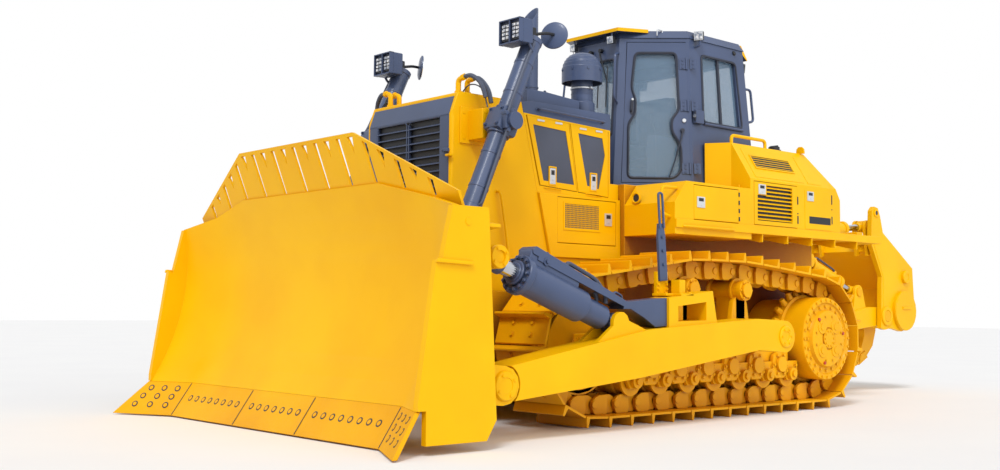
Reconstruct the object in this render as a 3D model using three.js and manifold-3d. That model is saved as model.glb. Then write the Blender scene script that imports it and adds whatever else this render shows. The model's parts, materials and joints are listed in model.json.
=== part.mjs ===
// Track-type bulldozer with a semi-U blade and a single-shank ripper, full size, in millimetres.
// +Z is up, the blade faces -Y and the machine's left side is +X. Stations along Y are counted from
// a datum between the tracks; the finished group is shifted so that its footprint is centred on zero.
import * as THREE from 'three';
import { mergeVertices } from 'three/addons/utils/BufferGeometryUtils.js';
import Module from 'manifold-3d';

const wasm = await Module();
wasm.setup();

// ---------------------------------------------------------------- driving dimensions
const SEAT_GAP = 0.3; // between two pieces that rest on each other
const DOOR_GAP = 6; // around every door leaf
const PIN_SIDES = 20; // facets of a pin and of its bore
const ROLLER_SIDES = 12;

const TRACK_GAUGE = 2260;
const SHOE_WIDTH = 610;
const SHOE_COUNT = 39;
const SHOE_THICKNESS = 20;
const GROUSER_HEIGHT = 75;
const GROUSER_BASE = 34;
const GROUSER_TIP = 20;
const CHAIN_HEIGHT = 165;
const CHAIN_WIDTH = 270;
const IDLER_Y = -1850;
const IDLER_RADIUS = 420; // to the chain's rail
const SPROCKET_Y = 1570;
const SPROCKET_RADIUS = 460; // to the chain's rail
const CARRIER_RADIUS = 100;
const CARRIER_Z = 1195;
const CARRIER_Y = [-500, 300];

const HULL_WIDTH = 1400;
const HULL_FRONT = -2600;
const HULL_REAR = 2450;
const BELLY_Z = 560;
const BAY_FLOOR_Z = 1150;
const TRACK_CLEARANCE = 205; // from the grousers up to the fender platform
const PLATFORM_THICKNESS = 80;
const DECK_Z = 2205; // top of the structure under the cab

const NOSE_FRONT = -2790;
const NOSE_WIDTH = 1240;
const NOSE_TOP = 2860;
const HOOD_TOP = 2880;
const SEAM_TOP = -1980; // seam between nose and hood, at the top
const SEAM_FOOT = -1548; // the same seam, at the foot
const HOOD_REAR = -815;
const HOOD_WALL = 40;
const HOOD_DOOR_HEAD = { y: -1925, z: 2748, fall: 0.0361 };
const HOOD_DOOR_SILL = { y: -1752, z: 2118, fall: 0.0565 };
const HOOD_DOORS = {
  front: { head: [-1925, -1372], sill: [-1752, -1262] },
  rear: { head: [-1362, -838], sill: [-1252, -838] },
};
const DOOR_THICKNESS = 20; // hood doors
const HOOD_DOOR_LEAD = 11; // gap at the slanting front edge, which the leaf's back swings past
const DOOR_LEAF = 25; // side-hinged doors

const SIDE_BOX_WIDTH = 1300; // over both boxes
const SIDE_BOX_FOOT = 1470;
const SIDE_BOX_TOP = 2050;
const SERVICE_DOOR = { front: -1545, rear: -760, foot: 1600, head: 2030 };

const FENDER_WIDTH = 2660; // over both fenders
const FENDER_FRONT = -700;
const FENDER_CHAMFER = { depth: 170, foot: 1996 };
const TANK_FRONT = 456;
const TANK_REAR = 2050;
const TANK_TOP = 2690;
const TANK_TOP_REAR = 1720;
const TANK_SHOULDER = 2310;
const TANK_REAR_SHOULDER = 2196;
const TANK_SLOPE = 235; // how far the slope leans in
const TANK_TOP_INNER = 872;
const TANK_FRONT_RAKE = 0.64; // forward run of the front's inner part for each millimetre inward
const PLATFORM_WIDTH = 2700;
const PLATFORM_REAR = 2850;
const FENDER_DOOR = { front: -425, rear: 262, foot: 1845, head: 2180 };
const TANK_DOOR = { front: 510, rear: 1250, foot: 1850, head: 2290 };
const DOOR_POCKET = 90; // depth of the space behind a fender door

const CAB_FRONT_WIDTH = 700;
const CAB_WIDTH = 1720;
const CAB_FRONT = -480;
const CAB_PILLAR = 155; // the post between door and side window
const CAB_REAR = 1180;
const CAB_ROOF_FRONT_WIDTH = 630;
const CAB_ROOF_WIDTH = 1600;
const CAB_ROOF_FRONT = -352;
const CAB_ROOF_REAR = 1050;
const CAB_FLOOR_THICKNESS = 40;
const CAB_WALL = 60;
const CAB_WALL_TOP = 3760;
const ROOF_THICKNESS = 80;

const EXHAUST_AT = [350, -1640];
const EXHAUST_RADIUS = 84;
const EXHAUST_TOP = 3850;
const PRECLEANER_AT = [350, -930];
const PRECLEANER_RADIUS = 200;
const PRECLEANER_TOP = 3510;

const FINAL_DRIVE_FACE = 1480;
const FINAL_DRIVE_RADIUS = 425;
const TRUNNION = { y: 270, z: 760, radius: 90 };
const ARM_END_RADIUS = 150;

const ARM_CLEARANCE = 115; // between track shoe and push arm
const ARM_WIDTH = 300;
const ARM_PIN = { y: -3250, z: 430, radius: 60 };
const ARM_TONGUE_RADIUS = 130;
const EAR_RADIUS = 145;
const EAR_THICKNESS = 55;
const EAR_CLEARANCE = 12;

const BLADE_WIDTH = 4100; // over the side plates
const BLADE_FOLD = 1590; // half the straight middle section
const BLADE_TOP_HALF = 1035; // half the level top edge
const BLADE_TOP = 1940;
const BLADE_SHOULDER = 1710; // top of the side plates
const MOULD_FOOT = { y: -3990, z: 300 };
const MOULD_HEAD_Y = -3840;
const MOULD_HOLLOW = 190; // depth of the mouldboard's curve
const MOULD_THICKNESS = 60;
const WING_RUN_FOOT = 0.49; // forward run of the wings per millimetre of width, at the foot
const WING_RUN_HEAD = 0.3;
const SIDE_PLATE = 50;
const EDGE_TIP = { y: -4190, z: 12 };
const EDGE_THICKNESS = 45;
const END_BIT_HALF = 2160;
const END_BIT_TIP = -4490;
const SPILL_TOP = 2335;
const SPILL_TOP_HALF = 875;
const SPILL_LEAN = 0.4; // forward run for each millimetre of height
const SPILL_THICKNESS = 25;
const SPILL_PITCH = 330; // between slots
const SPILL_RAIL = 28;

const LIFT_X = 950;
const LIFT_YOKE = { y: -2500, z: 2570 };
const LIFT_EYE = { y: -3320, z: 750 };
const LIFT_BARREL_RADIUS = 84;
const LIFT_ROD_RADIUS = 45;
const LIFT_ABOVE = 850; // barrel above its trunnion
const LIFT_BELOW = 850; // barrel below its trunnion
const LIFT_ROD_LENGTH = 1740;

const TILT_PIN = { y: -1950, z: 885 };
const TILT_EYE = { y: -3320, z: 1375 };
const TILT_BARREL_RADIUS = 132;
const TILT_ROD_RADIUS = 62;
const TILT_EYE_HALF = 64;
const TILT_EAR_GAP = 10;
const TILT_EAR = 40;
const TILT_BARREL_START = 135; // from the rear pin to the barrel
const TILT_BARREL_END = 1120; // from the rear pin to the gland's face
const TILT_FLANGE = 26; // how far the gland's flange stands proud
const GUARD_CLEARANCE = 40;

const RIPPER = {
  linkFront: { y: 2950, z: 800 },
  linkRear: { y: 4350, z: 950 },
  topRear: { y: 4120, z: 2070 },
  liftFront: { y: 2850, z: 1600 },
  liftRear: { y: 3880, z: 1243 },
};
const RIPPER_CYLINDER_X = 330;
const RIPPER_EYE_WIDTH = 90;
const RIPPER_PIN_RADIUS = 45;
const RIPPER_BARREL_RADIUS = 78;
const RIPPER_ROD_RADIUS = 38;
const LINK_OUTER = 450;
const LINK_ARM = 90;
const SHAFT_RADIUS = 70;
const BEAM_OUTER = 520;
const BEAM_PLATE = 60;
const SHANK_THICKNESS = 100;
const RIPPER_REAR = 5040;

// ---------------------------------------------------------------- derived values
const HULL_HALF = HULL_WIDTH / 2;
const TRACK_X = TRACK_GAUGE / 2;
const TRACK_OUTER = TRACK_X + SHOE_WIDTH / 2;
const IDLER_Z = IDLER_RADIUS + CHAIN_HEIGHT + SHOE_THICKNESS + GROUSER_HEIGHT;
const SPROCKET_Z = SPROCKET_RADIUS + CHAIN_HEIGHT + SHOE_THICKNESS + GROUSER_HEIGHT;
const RAIL_Z = GROUSER_HEIGHT + SHOE_THICKNESS + CHAIN_HEIGHT;
const TRACK_TOP = CARRIER_Z + CARRIER_RADIUS + CHAIN_HEIGHT + SHOE_THICKNESS + GROUSER_HEIGHT;
const PLATFORM_FOOT = TRACK_TOP + TRACK_CLEARANCE;
const PLATFORM_TOP = PLATFORM_FOOT + PLATFORM_THICKNESS;
const ARM_INNER = TRACK_OUTER + ARM_CLEARANCE;
const ARM_OUTER = ARM_INNER + ARM_WIDTH;
const ARM_X = (ARM_INNER + ARM_OUTER) / 2;
const BLADE_HALF = BLADE_WIDTH / 2;
const RIPPER_TOP_FRONT = {
  y: RIPPER.topRear.y - (RIPPER.linkRear.y - RIPPER.linkFront.y),
  z: RIPPER.topRear.z - (RIPPER.linkRear.z - RIPPER.linkFront.z),
};

// ---------------------------------------------------------------- finishes
const finish = (color, roughness, metalness) =>
  new THREE.MeshStandardMaterial({ color, roughness, metalness });
const YELLOW = finish(0xfcc300, 0.4, 0);
const SLATE = finish(0x505a70, 0.45, 0.1);
const BLACK = finish(0x16181c, 0.6, 0);
const STEEL = finish(0xc9cdd2, 0.25, 1);
const FABRIC = finish(0x2b2d33, 0.9, 0);

// ---------------------------------------------------------------- shaping helpers
const machine = new THREE.Group();

function bare(geometry) {
  const copy = geometry.clone();
  copy.deleteAttribute('normal');
  copy.deleteAttribute('uv');
  return mergeVertices(copy);
}

function solid(geometry) {
  const merged = bare(geometry);
  const vertProperties = new Float32Array(merged.attributes.position.array);
  const triVerts = new Uint32Array(merged.index.array);
  return new wasm.Manifold(new wasm.Mesh({ numProp: 3, vertProperties, triVerts }));
}

const join = (...solids) => solids.reduce((whole, next) => whole.add(next));
const cut = (whole, ...tools) => tools.reduce((rest, tool) => rest.subtract(tool), whole);

function geometryOf(body) {
  const { vertProperties, triVerts } = body.getMesh();
  const geometry = new THREE.BufferGeometry();
  geometry.setAttribute('position', new THREE.BufferAttribute(vertProperties, 3));
  geometry.setIndex(new THREE.BufferAttribute(triVerts, 1));
  return geometry;
}

function mirrored(geometry) {
  const copy = geometry.clone().applyMatrix4(new THREE.Matrix4().makeScale(-1, 1, 1));
  const index = copy.index.array;
  for (let i = 0; i < index.length; i += 3) {
    [index[i], index[i + 1]] = [index[i + 1], index[i]];
  }
  return copy;
}

function place(name, geometry, material) {
  geometry.computeVertexNormals();
  const mesh = new THREE.Mesh(geometry, material);
  mesh.name = name;
  machine.add(mesh);
}

function piece(name, body, material) {
  place(name, geometryOf(body), material);
}

function pair(name, body, material) {
  const geometry = geometryOf(body);
  place(`${name}_right`, mirrored(geometry), material);
  place(`${name}_left`, geometry, material);
}

function extruded(points, depth, holes) {
  const vector = ([u, v]) => new THREE.Vector2(u, v);
  const outline = points.map(vector);
  const shape = new THREE.Shape(THREE.ShapeUtils.isClockWise(outline) ? outline.reverse() : outline);
  shape.holes = holes.map((hole) => new THREE.Path(hole.map(vector)));
  return new THREE.ExtrudeGeometry(shape, { depth, bevelEnabled: false });
}

// A profile of [y, z] points drawn out from x0 to x1.
function alongX(points, x0, x1, holes = []) {
  const basis = new THREE.Matrix4().makeBasis(
    new THREE.Vector3(0, 1, 0), new THREE.Vector3(0, 0, 1), new THREE.Vector3(1, 0, 0));
  return solid(extruded(points, x1 - x0, holes).applyMatrix4(basis).translate(x0, 0, 0));
}

// A profile of [x, z] points drawn out from y0 to y1.
function alongY(points, y0, y1) {
  const basis = new THREE.Matrix4().makeBasis(
    new THREE.Vector3(1, 0, 0), new THREE.Vector3(0, 0, 1), new THREE.Vector3(0, -1, 0));
  return solid(extruded(points, y1 - y0, []).applyMatrix4(basis).translate(0, y1, 0));
}

function block([x0, x1], [y0, y1], [z0, z1]) {
  const box = new THREE.BoxGeometry(x1 - x0, y1 - y0, z1 - z0);
  return solid(box.translate((x0 + x1) / 2, (y0 + y1) / 2, (z0 + z1) / 2));
}

// A round bar between two points, or a cone where the radii differ.
function bar(from, to, radius, endRadius = radius, sides = PIN_SIDES, facetTurn = 0) {
  const start = new THREE.Vector3(...from);
  const run = new THREE.Vector3(...to).sub(start);
  const length = run.length();
  const shape = new THREE.CylinderGeometry(endRadius, radius, length, sides);
  const turn = new THREE.Quaternion().setFromUnitVectors(new THREE.Vector3(0, 1, 0), run.normalize());
  shape.rotateY(facetTurn).translate(0, length / 2, 0).applyQuaternion(turn);
  return solid(shape.translate(start.x, start.y, start.z));
}

// A solid of revolution about the line from one point towards another: [radius, run] pairs.
function turned(profile, from, to, sides = PIN_SIDES) {
  const start = new THREE.Vector3(...from);
  const heading = new THREE.Vector3(...to).sub(start).normalize();
  const turn = new THREE.Quaternion().setFromUnitVectors(new THREE.Vector3(0, 1, 0), heading);
  const shape = new THREE.LatheGeometry(profile.map(([u, v]) => new THREE.Vector2(u, v)), sides);
  return solid(shape.applyQuaternion(turn).translate(start.x, start.y, start.z));
}

const pinX = (at, radius, x0, x1, sides) => bar([x0, at.y, at.z], [x1, at.y, at.z], radius, radius, sides);

// The bore of a round pin: its facets sit half a facet round from the pin's and clear its corners.
const HALF_FACET = Math.PI / PIN_SIDES;
const boreFor = (radius) => (radius + SEAT_GAP) / Math.cos(HALF_FACET);
const bore = (from, to, radius) => bar(from, to, boreFor(radius), boreFor(radius), PIN_SIDES, HALF_FACET);
const boreX = (at, radius, x0, x1) => bore([x0, at.y, at.z], [x1, at.y, at.z], radius);

// [y, z] points of an arc about a centre, from one angle to another in degrees.
function arc(centre, radius, fromDeg, toDeg, steps) {
  const points = [];
  for (let i = 0; i <= steps; i++) {
    const angle = THREE.MathUtils.degToRad(THREE.MathUtils.lerp(fromDeg, toDeg, i / steps));
    points.push([centre.y + radius * Math.cos(angle), centre.z + radius * Math.sin(angle)]);
  }
  return points;
}

// A flat plate with an eye at one point, widening to a foot between two others.
function eyePlate(eye, radius, footA, footB, x0, x1) {
  const run = [eye.y - (footA[0] + footB[0]) / 2, eye.z - (footA[1] + footB[1]) / 2];
  const heading = THREE.MathUtils.radToDeg(Math.atan2(run[1], run[0]));
  const isLeft = run[0] * (footA[1] - footB[1]) - run[1] * (footA[0] - footB[0]) > 0;
  const [first, last] = isLeft ? [footB, footA] : [footA, footB];
  return alongX([first, ...arc(eye, radius, heading - 90, heading + 90, 6), last], x0, x1);
}

// A counter-clockwise outline with each edge moved in by its own distance.
function inset(outline, distances) {
  const lines = outline.map((corner, i) => {
    const next = outline[(i + 1) % outline.length];
    const along = new THREE.Vector2(next[0] - corner[0], next[1] - corner[1]).normalize();
    const start = new THREE.Vector2(corner[0] - along.y * distances[i], corner[1] + along.x * distances[i]);
    return { start, along };
  });
  return lines.map((line, i) => {
    const before = lines[(i + lines.length - 1) % lines.length];
    const run = line.start.clone().sub(before.start).cross(line.along) / before.along.cross(line.along);
    return [before.start.x + before.along.x * run, before.start.y + before.along.y * run];
  });
}

const insetAll = (outline, distance) => inset(outline, outline.map(() => distance));

// ---------------------------------------------------------------- tracks
// Outline of a belt pulled round circles that are listed counter-clockwise, seen from +X.
function beltPath(circles, offset) {
  const normals = circles.map((circle, i) => {
    const next = circles[(i + 1) % circles.length];
    const run = new THREE.Vector2(next.y - circle.y, next.z - circle.z);
    return run.angle() - Math.acos((circle.r - next.r) / run.length());
  });
  const path = new THREE.Path();
  circles.forEach((circle, i) => {
    const enter = normals[(i + circles.length - 1) % circles.length];
    path.absarc(circle.y, circle.z, circle.r + offset, enter, normals[i], false);
  });
  path.closePath();
  return path;
}

function trackCircles() {
  const carrier = (y) => ({ y, z: CARRIER_Z, r: CARRIER_RADIUS + CHAIN_HEIGHT });
  return [
    { y: IDLER_Y, z: IDLER_Z, r: IDLER_RADIUS + CHAIN_HEIGHT },
    { y: SPROCKET_Y, z: SPROCKET_Z, r: SPROCKET_RADIUS + CHAIN_HEIGHT },
    carrier(CARRIER_Y[1]),
    carrier(CARRIER_Y[0]),
  ];
}

function track() {
  const path = beltPath(trackCircles(), 0);
  const at = (share, lift) => {
    const point = path.getPointAt(share % 1);
    const along = path.getTangentAt(share % 1);
    return [point.x + along.y * lift, point.y - along.x * lift];
  };
  const pitch = path.getLength() / SHOE_COUNT;
  const outer = [];
  const back = [];
  const rail = [];
  for (let i = 0; i < SHOE_COUNT; i++) {
    const start = i / SHOE_COUNT;
    const across = (run) => start + run / (pitch * SHOE_COUNT);
    const slant = (GROUSER_BASE - GROUSER_TIP) / 2;
    outer.push(at(across(0), SHOE_THICKNESS));
    outer.push(at(across(slant), SHOE_THICKNESS + GROUSER_HEIGHT));
    outer.push(at(across(slant + GROUSER_TIP), SHOE_THICKNESS + GROUSER_HEIGHT));
    outer.push(at(across(GROUSER_BASE), SHOE_THICKNESS));
    back.push(at(start, 0), at(across(pitch / 2), 0));
    rail.push(at(start, -CHAIN_HEIGHT), at(across(pitch / 2), -CHAIN_HEIGHT));
  }
  const overlap = 5;
  const chainOuter = Array.from({ length: 2 * SHOE_COUNT }, (_, i) => at(i / (2 * SHOE_COUNT), overlap));
  const shoes = alongX(outer, TRACK_X - SHOE_WIDTH / 2, TRACK_X + SHOE_WIDTH / 2, [back]);
  const chain = alongX(chainOuter, TRACK_X - CHAIN_WIDTH / 2, TRACK_X + CHAIN_WIDTH / 2, [rail]);
  return join(shoes, chain);
}

function trackFrame() {
  const beamInner = TRACK_X - 200;
  const beamOuter = TRACK_X + 180;
  const beamFoot = 500;
  const beamTop = 860;
  const rollerRadius = 110;
  const rollerWidth = 330;
  const beam = alongX([
    [IDLER_Y + 480, beamFoot], [IDLER_Y + 480, beamTop - 60], [-1150, beamTop], [900, beamTop],
    [1080, beamFoot + 140], [1080, beamFoot],
  ], beamInner, beamOuter);
  const parts = [beam];
  for (let y = IDLER_Y + 580; y < SPROCKET_Y - 380; y += 390) {
    const at = { y, z: RAIL_Z + SEAT_GAP + rollerRadius };
    parts.push(pinX(at, rollerRadius, TRACK_X - rollerWidth / 2, TRACK_X + rollerWidth / 2, ROLLER_SIDES));
    parts.push(block([TRACK_X - 60, TRACK_X + 60], [y - 90, y + 90], [at.z, beamFoot + 10]));
  }
  const idler = { y: IDLER_Y, z: IDLER_Z };
  const facetSag = 16; // the chain's links are chords of its circle
  parts.push(pinX(idler, IDLER_RADIUS - facetSag, TRACK_X - 100, TRACK_X + 100));
  parts.push(pinX(idler, 90, beamInner, beamOuter));
  const forkTop = IDLER_Z + 90;
  const forkFoot = IDLER_Z - 90;
  for (const x of [beamInner, beamOuter - 50]) {
    parts.push(block([x, x + 50], [IDLER_Y - 90, IDLER_Y + 500], [forkFoot, forkTop]));
  }
  const carrierSag = 6;
  for (const y of CARRIER_Y) {
    const at = { y, z: CARRIER_Z };
    parts.push(pinX(at, CARRIER_RADIUS - carrierSag, TRACK_X - 130, beamOuter + 20, ROLLER_SIDES));
    parts.push(block([TRACK_X - 60, beamOuter], [y - 70, y + 70], [beamTop - 10, CARRIER_Z - 30]));
  }
  const trunnionEnd = ARM_OUTER - 55;
  parts.push(pinX(TRUNNION, TRUNNION.radius, beamOuter - 10, trunnionEnd));
  parts.push(pinX({ y: 950, z: 720 }, 120, HULL_HALF + SEAT_GAP, beamInner + 10));
  return join(...parts);
}

function finalDrive() {
  const at = { y: SPROCKET_Y, z: SPROCKET_Z };
  const facetSag = 20;
  return join(
    pinX(at, FINAL_DRIVE_RADIUS - 15, HULL_HALF + SEAT_GAP, TRACK_X),
    pinX(at, SPROCKET_RADIUS - facetSag, TRACK_X - 45, TRACK_X + 45),
    pinX(at, FINAL_DRIVE_RADIUS, TRACK_X, FINAL_DRIVE_FACE - 30),
    pinX(at, FINAL_DRIVE_RADIUS - 60, FINAL_DRIVE_FACE - 40, FINAL_DRIVE_FACE),
  );
}

function buildUndercarriage() {
  pair('track', track(), YELLOW);
  pair('track_frame', trackFrame(), YELLOW);
  pair('final_drive', finalDrive(), YELLOW);
}

// ---------------------------------------------------------------- hull, nose and hood
function mainFrame() {
  return alongX([
    [HULL_FRONT, BELLY_Z + 80], [HULL_FRONT, BAY_FLOOR_Z], [FENDER_FRONT, BAY_FLOOR_Z],
    [FENDER_FRONT, DECK_Z], [TANK_TOP_REAR, DECK_Z], [TANK_TOP_REAR, PLATFORM_TOP],
    [HULL_REAR, PLATFORM_TOP], [HULL_REAR, BELLY_Z + 100], [HULL_REAR - 300, BELLY_Z],
    [HULL_FRONT + 300, BELLY_Z],
  ], -HULL_HALF, HULL_HALF);
}

function seamY(z) {
  const share = (z - BAY_FLOOR_Z) / (NOSE_TOP - BAY_FLOOR_Z);
  return THREE.MathUtils.lerp(SEAM_FOOT, SEAM_TOP, share);
}

const GRILLE = { half: 585, foot: 1330, head: 2790, depth: 60 };
const BAY = { half: NOSE_WIDTH / 2 - HOOD_WALL, front: NOSE_FRONT + 450, head: NOSE_TOP - HOOD_WALL };

function noseProfile() {
  const foot = BAY_FLOOR_Z + SEAT_GAP;
  return [
    [NOSE_FRONT, foot], [NOSE_FRONT, NOSE_TOP - 200], [NOSE_FRONT + 70, NOSE_TOP - 10],
    [NOSE_FRONT + 120, NOSE_TOP], [SEAM_TOP, NOSE_TOP], [seamY(foot), foot],
  ];
}

function liftYoke() {
  const { y, z } = LIFT_YOKE;
  const half = NOSE_WIDTH / 2;
  const ringInner = LIFT_X - LIFT_BARREL_RADIUS - 36;
  return join(
    block([half - 10, ringInner - 10], [y - 110, y + 110], [z - 130, z + 130]),
    pinX(LIFT_YOKE, 40, ringInner - 20, ringInner + 8),
  );
}

function radiatorGuard() {
  const half = NOSE_WIDTH / 2;
  const shell = cut(
    alongX(noseProfile(), -half, half),
    block([-BAY.half, BAY.half], [BAY.front, SEAM_FOOT + 10], [BAY_FLOOR_Z - 10, BAY.head]),
    block(
      [-GRILLE.half, GRILLE.half], [NOSE_FRONT - 10, NOSE_FRONT + GRILLE.depth], [GRILLE.foot, NOSE_TOP + 10],
    ),
  );
  const yoke = geometryOf(liftYoke());
  return join(shell, solid(yoke), solid(mirrored(yoke)));
}

function grille() {
  const half = GRILLE.half - SEAT_GAP;
  const back = NOSE_FRONT + GRILLE.depth - SEAT_GAP;
  const fascia = [[NOSE_FRONT, GRILLE.foot + SEAT_GAP], [NOSE_FRONT, NOSE_TOP - 200], [back, NOSE_TOP - 40]];
  const frame = alongX([...fascia, [back, GRILLE.foot + SEAT_GAP]], -half, half);
  const slots = [];
  const rows = 9;
  const barHeight = 16;
  const low = GRILLE.foot + 60;
  const step = (NOSE_TOP - 215 - low) / rows;
  for (let row = 0; row < rows; row++) {
    for (const [x0, x1] of [[-half + 70, -18], [18, half - 70]]) {
      const rise = [low + row * step, low + (row + 1) * step - barHeight];
      slots.push(block([x0, x1], [NOSE_FRONT - 10, back - 15], rise));
    }
  }
  return cut(frame, ...slots);
}

function hood() {
  const half = NOSE_WIDTH / 2;
  const foot = BAY_FLOOR_Z + SEAT_GAP;
  const gap = SEAT_GAP;
  const rear = FENDER_FRONT - gap;
  const outline = [
    [seamY(foot) + gap, foot], [SEAM_TOP + gap, NOSE_TOP], [SEAM_TOP + 120, HOOD_TOP], [HOOD_REAR, HOOD_TOP],
    [HOOD_REAR, DECK_Z], [rear, DECK_Z], [rear, foot],
  ];
  const bayFront = SEAM_TOP - 100;
  const bay = alongX([
    [bayFront, BAY_FLOOR_Z - 10], [bayFront, NOSE_TOP - HOOD_WALL],
    [HOOD_REAR - HOOD_WALL, NOSE_TOP - HOOD_WALL], [HOOD_REAR - HOOD_WALL, DECK_Z - HOOD_WALL],
    [FENDER_FRONT + 10, DECK_Z - HOOD_WALL], [FENDER_FRONT + 10, BAY_FLOOR_Z - 10],
  ], -BAY.half, BAY.half);
  const doorways = Object.values(HOOD_DOORS).map((door) => alongX(hoodDoorway(door), -half - 10, half + 10));
  const lip = 30;
  const serviceHole = block([-half - 10, half + 10], [SERVICE_DOOR.front + lip, SERVICE_DOOR.rear - lip],
    [SERVICE_DOOR.foot + lip, SERVICE_DOOR.head - lip]);
  return cut(alongX(outline, -half, half), bay, serviceHole, ...doorways);
}

const fallLine = (line, y) => line.z - line.fall * (y - line.y);

// Corners of a doorway from the sill's front, counter-clockwise seen from +X.
function hoodDoorway({ head, sill }) {
  return [
    [sill[0], fallLine(HOOD_DOOR_SILL, sill[0])], [sill[1], fallLine(HOOD_DOOR_SILL, sill[1])],
    [head[1], fallLine(HOOD_DOOR_HEAD, head[1])], [head[0], fallLine(HOOD_DOOR_HEAD, head[0])],
  ];
}

function hoodDoor(door) {
  const half = NOSE_WIDTH / 2;
  const leaf = inset(hoodDoorway(door), [DOOR_GAP, DOOR_GAP, SEAT_GAP, HOOD_DOOR_LEAD]);
  return alongX(leaf, half - DOOR_THICKNESS, half);
}

function sideBox() {
  const outer = SIDE_BOX_WIDTH / 2;
  const inner = NOSE_WIDTH / 2 + SEAT_GAP;
  const door = SERVICE_DOOR;
  return cut(
    alongX([
      [seamY(SIDE_BOX_FOOT) + SEAT_GAP, SIDE_BOX_FOOT], [seamY(SIDE_BOX_TOP) + SEAT_GAP, SIDE_BOX_TOP],
      [FENDER_FRONT - SEAT_GAP, SIDE_BOX_TOP], [FENDER_FRONT - SEAT_GAP, SIDE_BOX_FOOT],
    ], inner, outer),
    block([inner - 10, outer + 10], [door.front, door.rear], [door.foot, door.head]),
  );
}

// A leaf hinged at its front or its rear edge, where it lies close to the frame.
function doorLeaf(door, outer, hingedAtFront) {
  const front = door.front + (hingedAtFront ? SEAT_GAP : DOOR_GAP);
  const rear = door.rear - (hingedAtFront ? DOOR_GAP : SEAT_GAP);
  return block([outer - DOOR_LEAF, outer], [front, rear], [door.foot + DOOR_GAP, door.head - DOOR_GAP]);
}

function engineBlock() {
  return block([-380, 380], [BAY.front + 200, HOOD_REAR - 120], [BAY_FLOOR_Z + SEAT_GAP, 2400]);
}

function exhaust() {
  const [x, y] = EXHAUST_AT;
  const foot = HOOD_TOP + SEAT_GAP;
  const base = block([x - 120, x + 120], [y - 130, PRECLEANER_AT[1] - 150], [foot, foot + 150]);
  const pipe = bar([x, y, foot], [x, y, EXHAUST_TOP], EXHAUST_RADIUS);
  const bore = bar([x, y, EXHAUST_TOP - 350], [x, y, EXHAUST_TOP + 10], EXHAUST_RADIUS - 12);
  const slant = alongX([
    [y - EXHAUST_RADIUS - 10, EXHAUST_TOP - 230], [y + EXHAUST_RADIUS, EXHAUST_TOP],
    [y + EXHAUST_RADIUS, EXHAUST_TOP + 20], [y - EXHAUST_RADIUS - 10, EXHAUST_TOP + 20],
  ], x - EXHAUST_RADIUS - 10, x + EXHAUST_RADIUS + 10);
  return cut(join(base, pipe), bore, slant);
}

function precleaner() {
  const [x, y] = PRECLEANER_AT;
  const foot = HOOD_TOP + SEAT_GAP;
  const r = PRECLEANER_RADIUS;
  const domeFoot = PRECLEANER_TOP - 150;
  const profile = [
    [0, foot], [125, foot], [125, foot + 120], [105, foot + 130], [105, domeFoot - 190],
    [r - 50, domeFoot - 160], [r, domeFoot - 130], [r, domeFoot],
  ];
  for (let i = 1; i <= 6; i++) {
    const turn = (i / 6) * Math.PI / 2;
    profile.push([r * Math.cos(turn), domeFoot + (PRECLEANER_TOP - domeFoot) * Math.sin(turn)]);
  }
  profile[profile.length - 1][0] = 0;
  const points = profile.map(([u, v]) => new THREE.Vector2(u, v));
  return solid(new THREE.LatheGeometry(points, 28).rotateX(Math.PI / 2).translate(x, y, 0));
}

function buildBody() {
  piece('main_frame', mainFrame(), YELLOW);
  piece('engine_block', engineBlock(), BLACK);
  piece('radiator_guard', radiatorGuard(), YELLOW);
  piece('grille', grille(), SLATE);
  piece('hood', hood(), SLATE);
  pair('hood_front_door', hoodDoor(HOOD_DOORS.front), YELLOW);
  pair('hood_rear_door', hoodDoor(HOOD_DOORS.rear), YELLOW);
  pair('side_box', sideBox(), YELLOW);
  pair('service_door', doorLeaf(SERVICE_DOOR, SIDE_BOX_WIDTH / 2, true), YELLOW);
  piece('exhaust', exhaust(), SLATE);
  piece('precleaner', precleaner(), SLATE);
}

// ---------------------------------------------------------------- fenders and tanks
function pocket(door) {
  const outer = FENDER_WIDTH / 2;
  return block([outer - DOOR_POCKET, outer + 10], [door.front, door.rear], [door.foot, door.head]);
}

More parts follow.
